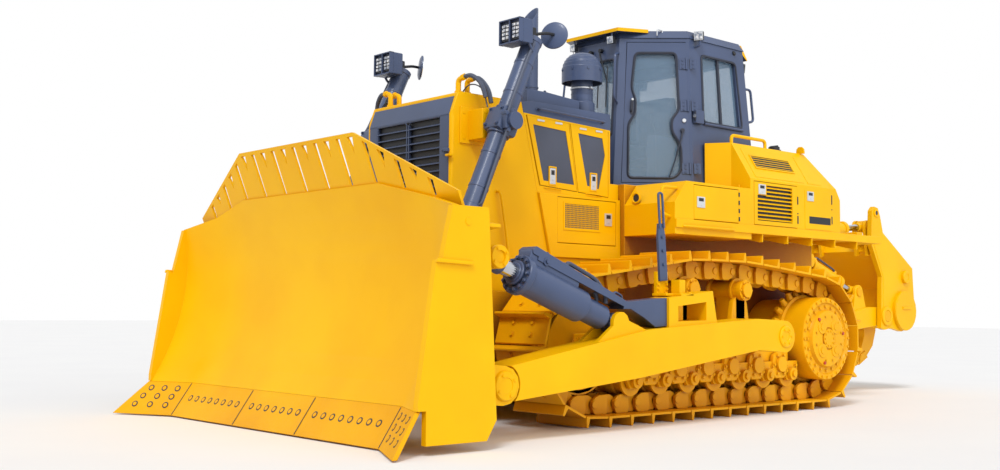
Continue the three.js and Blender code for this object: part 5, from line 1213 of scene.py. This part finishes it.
def cab_windows():
    """Side, front and rear panes, with the side window's sash."""
    side = wall_of(DOOR_POST, REAR_POST)
    low, high = 2.915, 3.61
    panes = window(side, rounded([(0.19, low), (0.835, low), (0.755, high), (0.19, high)], 0.05))
    sash = [(bar(side(0.50, low, -0.02), side(0.475, high, -0.02), 0.018, sides=8), GASKET),
            (bar(side(0.19, low - 0.02, 0.01), side(0.835, low - 0.02, 0.01), 0.016, sides=8), SLATE)]
    pair("side_window", "tractor", panes + sash)
    front = wall_of(other_side(FRONT_POST), FRONT_POST)
    outline = [(0.06, 2.75), (0.625, 2.75), (0.59, 3.55), (0.06, 3.55)]
    piece("front_window", "tractor", window(front, rounded(outline, 0.05)))
    rear = wall_of(REAR_POST, other_side(REAR_POST))
    outline = [(0.11, 2.8), (1.55, 2.8), (1.50, 3.63), (0.11, 3.63)]
    piece("rear_window", "tractor", window(rear, rounded(outline, 0.06)))


def work_lamp(centre, heading, size, deep):
    """A small square lamp: housing, lens, and bracket foot."""
    place = aimed(centre, heading)
    body = moved(block((-size, -size, -deep), (size, size, 0), 0.008), place)
    rim = moved(block((-size, -size, 0), (size, size, 0.006), 0.002), place)
    lens = moved(block((-size * 0.84, -size * 0.84, 0.004), (size * 0.84, size * 0.84, 0.01), 0.002), place)
    return [(body, BLACK), (rim, SILVER), (lens, LAMP)]


def cab_fittings():
    """Lamps, rails, hooks and wipers outside the cab."""
    pair("visor_lamp", "tractor", work_lamp((0.27, -0.445, 3.735), (0.1, -1, -0.1), 0.036, 0.05)
         + [(bar((0.27, -0.415, 3.76), (0.27, -0.415, 3.822), 0.009, sides=12), SLATE)])
    pair("pillar_lamp", "tractor", work_lamp((0.86, 0.24, 3.79), (0.45, -1, -0.12), 0.046, 0.055)
         + [(pipe([(0.80, 0.25, 3.68), (0.86, 0.262, 3.69), (0.865, 0.262, 3.76)], 0.012, 0.02), SLATE)])
    pair("rear_lamp", "tractor", work_lamp((0.70, 1.165, 3.60), (0, 1, -0.15), 0.05, 0.06)
         + [(bar((0.70, 1.12, 3.64), (0.70, 1.12, 3.76), 0.012, sides=12), SLATE)])
    box = block((0.835, 0.17, 2.88), (0.885, 0.30, 3.02), 0.012)
    pad = block((0.86, 0.160, 2.91), (0.882, 0.172, 3.0), 0.004)
    lens = bar((0.87, 0.163, 2.955), (0.87, 0.156, 2.955), 0.018, sides=20)
    pair("pillar_box", "tractor", [(box, SLATE), (pad, GASKET), (lens, LAMP)])
    rails = [pipe([(0.795, 1.07, 3.36), (0.80, 1.185, 3.36), (0.82, 1.205, 3.02), (0.815, 1.12, 3.0)],
                  0.014, 0.04),
             pipe([(0.32, -0.37, 3.60), (0.345, -0.45, 3.58), (0.37, -0.49, 3.12), (0.335, -0.41, 3.08)],
                  0.012, 0.04)]
    pair("cab_rail", "tractor", [(together(rails), SLATE)])
    hook = pipe([(0.60, -0.10, 3.78), (0.60, -0.10, 3.843), (0.60, -0.02, 3.843),
                 (0.60, -0.02, 3.78)], 0.006, 0.012, 8)
    pair("roof_hook", "tractor", [(hook, SILVER)])
    knob = [bar((0.76, 0.9, 3.70), (0.80, 0.9, 3.72), 0.018, sides=20),
            bar((0.79, 0.9, 3.715), (0.81, 0.9, 3.725), 0.026, sides=20)]
    piece("roof_beacon_socket", "tractor", [(together(knob), BLACK)])
    wipers = []
    for x, lean in ((-0.06, 0.16), (0.08, 0.14)):
        wipers += [pipe([(x, -0.375, 3.66), (x, -0.405, 3.65), (x + lean, -0.43, 3.30)], 0.008, 0.02, 8),
                   pipe([(x + lean, -0.425, 3.47), (x + lean, -0.44, 3.30), (x + lean, -0.455, 3.05)],
                        0.007, 0.02, 8),
                   bar((x, -0.36, 3.66), (x, -0.40, 3.66), 0.022, sides=16)]
    piece("front_wipers", "tractor", [(together(wipers), BLACK)])


def cushion(low, high, channels):
    """A stuffed pad: crowned faces, sides drawn in between the corners, sewn channels across."""
    low, high = Vector(low), Vector(high)
    middle, half = (low + high) / 2, (high - low) / 2
    bm = bmesh.new()
    bmesh.ops.create_cube(bm, size=2)
    bmesh.ops.subdivide_edges(bm, edges=bm.edges[:], cuts=17, use_grid_fill=True)
    for _ in range(6):
        bmesh.ops.smooth_vert(bm, verts=bm.verts[:], factor=0.5, use_axis_x=True,
                              use_axis_y=True, use_axis_z=True)
    for vert in bm.verts:
        x, y, z = vert.co
        draw = 1 - 0.05 * (1 - z * z) * (abs(x) > 0.8 or abs(y) > 0.8)
        crown = 1 - 0.16 * (x * x + y * y) / 2
        groove = sum(0.1 * math.exp(-((x - line) / 0.035) ** 2) for line in channels)
        vert.co = (x * draw, y * draw, z * crown - math.copysign(groove, z) * (abs(z) > 0.6))
    bmesh.ops.scale(bm, vec=half, verts=bm.verts[:])
    bmesh.ops.translate(bm, vec=middle, verts=bm.verts[:])
    return bm


def operator_seat():
    """A ribbed suspension base, two sewn pads, and the levers and arm rests beside them."""
    floor, channels = CAB_FOOT, (-0.45, 0.45)
    base = [block((-0.2, 0.2, floor), (0.2, 0.58, floor + 0.05), 0.01),
            block((-0.16, 0.24, floor + 0.05), (0.16, 0.54, floor + 0.26), 0.02),
            block((-0.23, 0.17, floor + 0.25), (0.23, 0.61, floor + 0.33), 0.03)]
    ribs = [block((-0.165, 0.235, floor + 0.06 + 0.04 * i), (0.165, 0.545, floor + 0.075 + 0.04 * i), 0.006)
            for i in range(5)]
    piece("seat_base", "tractor", [(together(base + ribs), BLACK)])
    stuffed = cushion((-0.25, 0.12, floor + 0.33), (0.25, 0.58, floor + 0.47), channels)
    pad = piece("seat_cushion", "tractor", [(stuffed, FABRIC)], ["seat"])
    lean = Matrix.Translation((0, 0.6, floor + 0.42)) @ Matrix.Rotation(math.radians(-84), 4, "X")
    back = moved(cushion((-0.24, -0.62, -0.02), (0.24, 0.0, 0.1), channels), lean)
    back_pad = piece("seat_back", "tractor", [(back, FABRIC)])
    arms = [block((0.245, 0.24, floor + 0.56), (0.275, 0.55, floor + 0.60), 0.012)]
    levers = [pipe([(0.34, 0.16, floor + 0.56), (0.34, 0.15, floor + 0.62),
                    (0.33, 0.12, floor + 0.68)], 0.012, 0.03),
              turned([(0, 0), (0.02, 0), (0.026, 0.04), (0.024, 0.1), (0.014, 0.12), (0, 0.12)],
                     (0.33, 0.125, floor + 0.66), (0, -0.2, 1), 24)]
    pair("control_lever", "tractor", [(together(levers + arms), BLACK)])


cab_door()
cab_windows()
cab_fittings()
operator_seat()


# ---------------------------------------------------------------- fenders and tanks
TANK_FOOT, TANK_HEAD = (1.33, 2.31), (1.095, 2.69)  # the tank's sloping side, in x and z
PLATFORM_TOP, DECK_TOP = 1.8395, 2.2045  # the rear platform and the deck in front of the tank


def on_slope(y, share, out=0.0):
    """A place on the tank's sloping side: station, share of the way up, and distance out of it."""
    across, rise = TANK_HEAD[0] - TANK_FOOT[0], TANK_HEAD[1] - TANK_FOOT[1]
    away = Vector((rise, 0, -across)).normalized() * out
    return Vector((TANK_FOOT[0] + across * share, y, TANK_FOOT[1] + rise * share)) + away


def slope_sheet(outline, out, depth):
    return sheet([[on_slope(y, share, out) for y, share in outline]], on_slope(0, 0, depth) - on_slope(0, 0))


def rectangle(y0, y1, z0, z1):
    return [(y0, z0), (y1, z0), (y1, z1), (y0, z1)]


def hinge_line(x, y, spans):
    return [bar((x + 0.002, y, low), (x + 0.002, y, high), 0.007, sides=12, bevel=0.001)
            for low, high in spans]


def ring_sheet(outer, hole, start, end):
    return sheet([[(start, y, z) for y, z in outer], [(start, y, z) for y, z in hole]], (end - start, 0, 0))


def tread(xs, ys, top):
    """Short raised strips in rows, against slipping."""
    return [bar((x, y, top), (x + 0.05, y + 0.03, top), 0.004, sides=6, bevel=0) for x in xs for y in ys]


def tank_door():
    """The door's leaf over its louvre, with a black sheet behind it painted as the shade inside."""
    side = FENDER_SIDE
    opening = [(0.57, 1.897), (1.165, 1.897), (1.165, 2.258), (0.72, 2.258), (0.72, 2.155), (0.57, 2.155)]
    leaf = ring_sheet(rectangle(0.5165, 1.2497, 1.856, 2.284), opening, side - 0.025, side)
    slats = []
    for row in range(9):
        z = 1.905 + 0.04 * row
        start = 0.565 if z < 2.13 else 0.715
        slat = plate([(start, side - 0.001), (1.17, side - 0.001), (1.17, side - 0.019),
                      (start, side - 0.019)], "z", 0, 0.003, 0)
        tilt = Matrix(((0, 1, 0, 0), (1, 0, 0, 0), (0, -0.9, 1, z + side * 0.9), (0, 0, 0, 1)))
        slats.append(laid_in(slat, tilt))
    # Painted shade: the black sheet behind the slats stands for the shade inside the opening.
    back = plate(opening, "x", side - 0.024, side - 0.022, 0)
    pair("tank_door_leaf", "tank_door_{}",
         [(together([leaf, *slats]), YELLOW), (back, BLACK), *latch(side - 0.001, 0.64, 2.212, 0.058, 0.05)],
         ["tank_door_{}"])


def fender_hinges():
    """Latch and hinge barrels of the doors in the fender's side: body, station and heights."""
    side = FENDER_SIDE
    pair("fender_latch", "fender_door_{}", latch(side - 0.001, -0.324, 2.016, 0.058, 0.052))
    hinges = {"fender_door_{}": (0.268, ((1.87, 1.91), (1.95, 1.99), (2.03, 2.07), (2.11, 2.15))),
              "tank_door_{}": (1.257, ((1.90, 1.98), (2.0, 2.01), (2.10, 2.18))),
              "tractor": (1.885, ((1.93, 2.01), (2.08, 2.09), (2.14, 2.24)))}
    for body, (y, spans) in hinges.items():
        pair(body.replace("_{}", "") + "_hinges", body, [(together(hinge_line(side, y, spans)), GASKET)])


def fender_trim():
    """Rails, seams, gussets, treads, filler cap and plates on the fender and its tank."""
    side = FENDER_SIDE
    rails = [pipe([(side - 0.01, -0.605, 1.775), (side + 0.045, -0.595, 1.775),
                   (side + 0.045, 0.14, 1.775), (side - 0.01, 0.15, 1.775)], 0.012, 0.05),
             pipe([(1.27, -0.605, 2.135), (1.27, -0.80, 2.135), (1.27, -0.82, 2.10), (1.27, -0.82, 1.89),
                   (1.27, -0.69, 1.86)], 0.016, 0.05),
             pipe([(1.065, 0.50, 2.68), (1.065, 0.50, 2.772), (1.065, 1.07, 2.772), (1.065, 1.07, 2.68)],
                  0.018, 0.05)]
    panel = plate(rectangle(1.385, 1.875, 1.855, 2.262), "x", side - 0.002, side + 0.004, 0.002)
    lug = plate([(-0.05, 0), (0.05, 0), (0.045, 0.05), (0.02, 0.075), (-0.02, 0.075), (-0.045, 0.05)],
                "y", -0.012, 0.012, 0.004)
    moved(lug, Matrix.Translation((1.10, 1.66, 2.688)))
    seams = [slope_sheet(rectangle(0.56, 1.40, 0.06, 0.86), -0.002, 0.006),
             slope_sheet(rectangle(1.47, 1.70, 0.06, 0.86), -0.002, 0.006)]
    gussets = [plate([(1.345, 1.761), (1.06, 1.761), (1.06, 1.735), (1.30, 1.68), (1.345, 1.68)],
                     "y", y, y + 0.016, 0.003) for y in (0.62, 1.05, 1.48, 1.91, 2.34)]
    strips = tread([0.80 + 0.1 * i for i in range(5)], [2.12 + 0.09 * i for i in range(8)], PLATFORM_TOP)
    strips += tread([0.93 + 0.1 * i for i in range(4)], [-0.46 + 0.1 * i for i in range(8)], DECK_TOP)
    cap = [turned([(0, 0), (0.075, 0), (0.075, 0.02), (0.06, 0.024), (0.06, 0.05), (0.052, 0.058),
                   (0, 0.058)], (0.98, 1.35, 2.688), UP, 40),
           bar((0.93, 1.35, 2.75), (1.03, 1.35, 2.75), 0.009, sides=12)]
    rear_box = block((0.72, 2.72, PLATFORM_TOP), (1.12, 2.84, 1.90), 0.008)
    pin = pipe([(1.2, 0.44, 2.2), (1.2, 0.44, 2.25)], 0.01, 0.01, 8)
    front_ring = turned([(0.038, 0), (0.052, 0), (0.055, 0.012), (0.046, 0.018), (0.038, 0.012), (0.038, 0)],
                        (0.86, -0.699, 2.06), -ALONG, 40)
    front_plug = bar((0.86, -0.69, 2.06), (0.86, -0.706, 2.06), 0.039)
    blank = plate(rectangle(1.46, 1.855, 1.915, 1.99), "x", side + 0.003, side + 0.0055, 0.001)
    yellow = together([*rails, panel, lug, *seams, *gussets, *strips, rear_box, pin, front_ring])
    pair("fender_trim", "tractor", [(yellow, YELLOW), (together(cap), BLACK), (front_plug, GASKET),
                                    *latch(side + 0.003, 1.48, 2.20, 0.058, 0.05), (blank, BLACK)])


def slope_louvre():
    """Five slats in the tank's sloping side, in a raised surround, over a black sheet painted as the shade in
    the opening.
    """
    low, high, front, rear = 0.335, 0.66, 0.65, 1.30
    opening = rectangle(front, rear, low, high)
    rim = rectangle(front - 0.012, rear + 0.012, low - 0.03, high + 0.03)
    # Painted shade: the black sheet stands for the shade in the opening.
    dark = slope_sheet(opening, 0.003, 0.004)
    surround = sheet([[on_slope(y, share, 0.003) for y, share in loop] for loop in (rim, opening)],
                     on_slope(0, 0, 0.011) - on_slope(0, 0))
    slats = []
    for row in range(5):
        share = low + (high - low) * (row + 0.4) / 5
        slats.append(sheet([[on_slope(front, share, 0.008), on_slope(rear, share, 0.008),
                             on_slope(rear, share + 0.013, 0.0095), on_slope(front, share + 0.013, 0.0095)]],
                           on_slope(0, 0, 0.003) - on_slope(0, 0)))
    pair("slope_louvre", "tractor", [(together([surround, *slats]), YELLOW), (dark, BLACK)])


def tail_lamps():
    pair("tail_lamp", "tractor", [(block((1.12, 2.045, 1.98), (1.24, 2.075, 2.05), 0.008), BLACK),
                                  (block((1.13, 2.07, 1.985), (1.18, 2.084, 2.045), 0.006), RED),
                                  (block((1.185, 2.07, 1.985), (1.23, 2.084, 2.045), 0.006), LAMP)])


tank_door()
fender_hinges()
fender_trim()
slope_louvre()
tail_lamps()


# ---------------------------------------------------------------- ripper
RIPPER_X = 0.33
LINK_FRONT, LINK_REAR = (2.95, 0.80), (4.35, 0.95)
TOP_FRONT, TOP_REAR = (2.72, 1.92), (4.12, 2.07)
LOWER_FRONT, LOWER_REAR = (2.85, 1.60), (3.88, 1.243)
BEAM_SIDE = 0.52


def ripper_cylinder(kind, front, rear, barrel_end, rod_start):
    """Barrel with its rings, ports and pipe, and the rod with its eye."""
    at = line_of(RIPPER_X, front, rear)
    heading = at(1) - at(0)
    barrel = [tube_between(at, 0.12, barrel_end, 0.078), tube_between(at, 0.055, 0.14, 0.05, 0.004),
              *eye(at, 0, 0.075, 0.045), tube_between(at, barrel_end - 0.05, barrel_end + 0.004, 0.092),
              tube_between(at, 0.12, 0.17, 0.088),
              tube_between(at, barrel_end, barrel_end + 0.02, 0.052, 0.004),
              bolts(ring_points(at(barrel_end + 0.003), heading, 0.075, 8), heading, 0.009, 0.011),
              bar(at(0.2, 0.07), at(0.2, 0.11), 0.022, sides=6),
              bar(at(barrel_end - 0.11, 0.07), at(barrel_end - 0.11, 0.11), 0.022, sides=6)]
    port = pipe([at(0.2, 0.108), at(0.24, 0.125), at(barrel_end - 0.16, 0.118),
                 at(barrel_end - 0.11, 0.10)], 0.012, 0.03)
    pair(f"ripper_{kind}_barrel", f"ripper_{kind}_barrel_{{}}", [(together(barrel), YELLOW), (port, RUBBER)],
         [f"ripper_{kind}_barrel_{{}}"])
    reach = (Vector(rear) - Vector(front)).length
    rod = [(tube_between(at, rod_start, reach - 0.05, 0.038, 0.003), CHROME),
           (together([tube_between(at, reach - 0.12, reach - 0.03, 0.052),
                      *eye(at, reach, 0.075, 0.045)]), YELLOW)]
    pair(f"ripper_{kind}_rod", f"ripper_{kind}_rod_{{}}", rod, [f"ripper_{kind}_rod_{{}}"])


def beam_trim():
    """Raised rings, bosses and the weld on the beam's sides."""
    side = BEAM_SIDE
    hub, slot_boss = (4.75, 1.02), (4.80, 1.45)
    shapes = [turned([(0, 0), (0.252, 0), (0.252, 0.036), (0.243, 0.046), (0.222, 0.046), (0.216, 0.038),
                      (0, 0.038)], (side - 0.002, *hub), ACROSS, 72),
              block((side + 0.034, 4.66, 1.035), (side + 0.058, 4.86, 1.075), 0.012),
              bolts([(side + 0.056, y, 1.055) for y in (4.69, 4.83)], ACROSS, 0.009, 0.004),
              turned([(0, -0.01), (0.082, -0.01), (0.082, 0.032), (0.074, 0.04), (0.045, 0.04),
                      (0.04, 0.02), (0, 0.02)], (side, *slot_boss), ACROSS),
              turned([(0, 0), (0.12, 0), (0.12, 0.014), (0.11, 0.022), (0.076, 0.022), (0.07, 0.012),
                      (0, 0.012)], (side, *LINK_REAR), ACROSS),
              turned([(0, 0), (0.052, 0), (0.052, 0.008), (0.045, 0.012), (0.03, 0.012), (0.027, 0.004),
                      (0, 0.004)], (side, 4.145, 2.235), ACROSS, 40)]
    # Painted shade: the dark discs in the bosses stand for the shade in their holes.
    dark = [bar((side + 0.021, 4.785, 1.47), (side + 0.024, 4.785, 1.47), 0.03, sides=20),
            bar((side + 0.006, 4.145, 2.235), (side + 0.009, 4.145, 2.235), 0.026, sides=20)]
    weld = pipe([(side, 4.27, 0.84), (side, 4.285, 1.35), (side, 4.29, 1.44), (side, 4.09, 1.83)],
                0.006, 0.03, 8)
    pair("beam_trim", "ripper_beam", [(together([*shapes, weld]), YELLOW), (together(dark), GASKET)])


def beam_fittings():
    """Cylinder pins, the shank's clamp and the shank's tip."""
    pins = [turned([(0, 0), (0.062, 0), (0.062, 0.01), (0.055, 0.016), (0, 0.016)],
                   (RIPPER_X + 0.093, *TOP_REAR), ACROSS, 32),
            bolts([(RIPPER_X + 0.105, TOP_REAR[0] + a, TOP_REAR[1]) for a in (-0.03, 0.03)], ACROSS,
                  0.008, 0.014)]
    pair("beam_pins", "ripper_beam", [(together(pins), DEEP_YELLOW)])
    bands = [bolts([(a, 4.575, z) for a in (-0.16, 0.16) for z in (1.0, 1.12, 1.24)], -ALONG, 0.018, 0.014),
             plate([(-0.09, 0.905), (0.09, 0.905), (0.09, 1.30), (-0.09, 1.30)], "y", 4.51, 4.519, 0.003)]
    piece("shank_clamp", "ripper_beam", [(together(bands), YELLOW)])
    tip = [plate([(4.30, 0.330), (4.31, 0.290), (4.47, 0.333), (4.46, 0.375), (4.40, 0.372)],
                 "x", -0.058, 0.058, 0.006),
           plate([(4.455, 0.32), (4.66, 0.415), (4.60, 0.50), (4.49, 0.45)], "x", -0.062, 0.062, 0.006)]
    tip += [bar((x, 4.42, 0.345), (x * 1.13, 4.42, 0.345), 0.012, sides=12) for x in (-0.056, 0.056)]
    piece("shank_tip", "ripper_beam", [(together(tip), DEEP_YELLOW)])


def link_trim():
    cover = turned([(0, 0), (0.098, 0), (0.098, 0.010), (0.09, 0.016), (0.06, 0.016), (0.055, 0.008),
                    (0, 0.008)], (0.511, *LINK_FRONT), ACROSS, 40)
    pair("link_pin_cover", "tractor", [(cover, YELLOW)])
    pin = turned([(0, 0), (0.055, 0), (0.055, 0.01), (0.048, 0.016), (0, 0.016)],
                 (RIPPER_X + 0.094, *LOWER_REAR), ACROSS, 32)
    pair("link_pins", "ripper_link", [(pin, DEEP_YELLOW)])


def rear_lines():
    """Hoses from the hull's rear face to the ripper cylinders, clipped to the bracket."""
    hoses = []
    for offset in (0.0, 0.04):
        hoses.append(pipe([(0.18 + offset, 2.55, 1.30), (0.18 + offset, 2.64, 1.32),
                           (0.20 + offset, 2.72, 1.50), (0.22 + offset, 2.70, 1.72),
                           (0.20 + offset, 2.60, 1.82), (0.18 + offset, 2.55, 1.82)], 0.016, 0.1))
    clips = [block((0.16, 2.555, 1.285), (0.245, 2.585, 1.32), 0.006),
             block((0.16, 2.555, 1.80), (0.245, 2.585, 1.84), 0.006)]
    pair("ripper_hoses", "tractor", [(together(hoses), RUBBER), (together(clips), YELLOW)])
    angles = [i * math.tau / 20 for i in range(21)]
    ring = pipe([(0, 2.50 + 0.045 * math.cos(angle), 2.16 + 0.045 * math.sin(angle)) for angle in angles],
                0.013, 0.005)
    shank = bar((0, 2.50, 2.115), (0, 2.50, 2.13), 0.022, sides=16)
    piece("rear_eye_bolt", "tractor", [(together([ring, shank]), YELLOW)])
    plates = bolts([(x, 2.559, z) for x in (-0.5, -0.17, 0.17, 0.5) for z in (0.66, 2.06)], ALONG, 0.02, 0.02)
    piece("bracket_bolts", "tractor", [(plates, YELLOW)])


ripper_cylinder("tilt", TOP_FRONT, TOP_REAR, 0.98, 0.55)
ripper_cylinder("lift", LOWER_FRONT, LOWER_REAR, 0.76, 0.40)
beam_trim()
beam_fittings()
link_trim()
rear_lines()


# ---------------------------------------------------------------- camera, light and floor
def camera():
    lens = bpy.data.cameras.new("camera")
    holder = bpy.data.objects.new("camera", lens)
    bpy.context.scene.collection.objects.link(holder)
    ahead = Vector((-0.7443, 0.6623, 0.0858)).normalized()
    across = Vector((0.6654, 0.7466, 0.0092)).normalized()
    turn = Matrix((across, across.cross(ahead).normalized(), -ahead)).transposed().to_4x4()
    holder.matrix_world = Matrix.Translation((8.283, -9.266, 0.987)) @ turn
    lens.sensor_width = 36
    lens.lens = 41.915
    lens.shift_x = -0.0046
    lens.shift_y = -0.0256
    lens.clip_end = 200
    bpy.context.scene.camera = holder


def pale_world():
    """White where the camera or a reflection sees it, and a plain soft level on the object."""
    world = bpy.data.worlds.new("studio")
    bpy.context.scene.world = world
    world.use_nodes = True
    tree = world.node_tree
    seen = linked(tree, "ShaderNodeLightPath")
    direct = linked(tree, "ShaderNodeMath", operation="MAXIMUM")
    any_ray = linked(tree, "ShaderNodeMath", operation="MAXIMUM")
    tree.links.new(seen.outputs["Is Camera Ray"], direct.inputs[0])
    tree.links.new(seen.outputs["Is Glossy Ray"], direct.inputs[1])
    tree.links.new(direct.outputs[0], any_ray.inputs[0])
    tree.links.new(seen.outputs["Is Transmission Ray"], any_ray.inputs[1])
    level = linked(tree, "ShaderNodeMapRange")
    level.inputs["To Min"].default_value = 0.52
    level.inputs["To Max"].default_value = 1.0
    tree.links.new(any_ray.outputs[0], level.inputs["Value"])
    background = tree.nodes["Background"]
    background.inputs["Color"].default_value = (1, 1, 1, 1)
    tree.links.new(level.outputs["Result"], background.inputs["Strength"])


def sun(name, energy, heading, spread):
    light = bpy.data.lights.new(name, "SUN")
    light.energy = energy
    light.angle = math.radians(spread)
    holder = bpy.data.objects.new(name, light)
    bpy.context.scene.collection.objects.link(holder)
    holder.rotation_mode = "QUATERNION"
    holder.rotation_quaternion = Vector(heading).to_track_quat("-Z", "Y")


def pale_floor():
    """A wide floor that shows white and keeps the object's shadow."""
    bm = bmesh.new()
    bmesh.ops.create_grid(bm, x_segments=1, y_segments=1, size=70)
    mesh = bpy.data.meshes.new("floor")
    bm.to_mesh(mesh)
    bm.free()
    floor = bpy.data.objects.new("floor", mesh)
    bpy.context.scene.collection.objects.link(floor)
    material = bpy.data.materials.new("floor_paint")
    material.use_nodes = True
    tree = material.node_tree
    shader = tree.nodes["Principled BSDF"]
    shader.inputs["Roughness"].default_value = 0.9
    shader.inputs["Specular IOR Level"].default_value = 0.0
    tone = mixed(tree, ramp(tree, noise(tree, 0.6), 0, 1), (0.90, 0.90, 0.90), (0.885, 0.885, 0.89))
    tree.links.new(tone, shader.inputs["Base Color"])
    mesh.materials.append(material)


def studio():
    bpy.context.scene.view_settings.view_transform = "Standard"
    pale_world()
    sun("key", 1.6, (-0.40, 0.52, -0.75), 16)
    sun("side_fill", 0.95, (-0.85, 0.05, -0.42), 60)
    pale_floor()


camera()
studio()
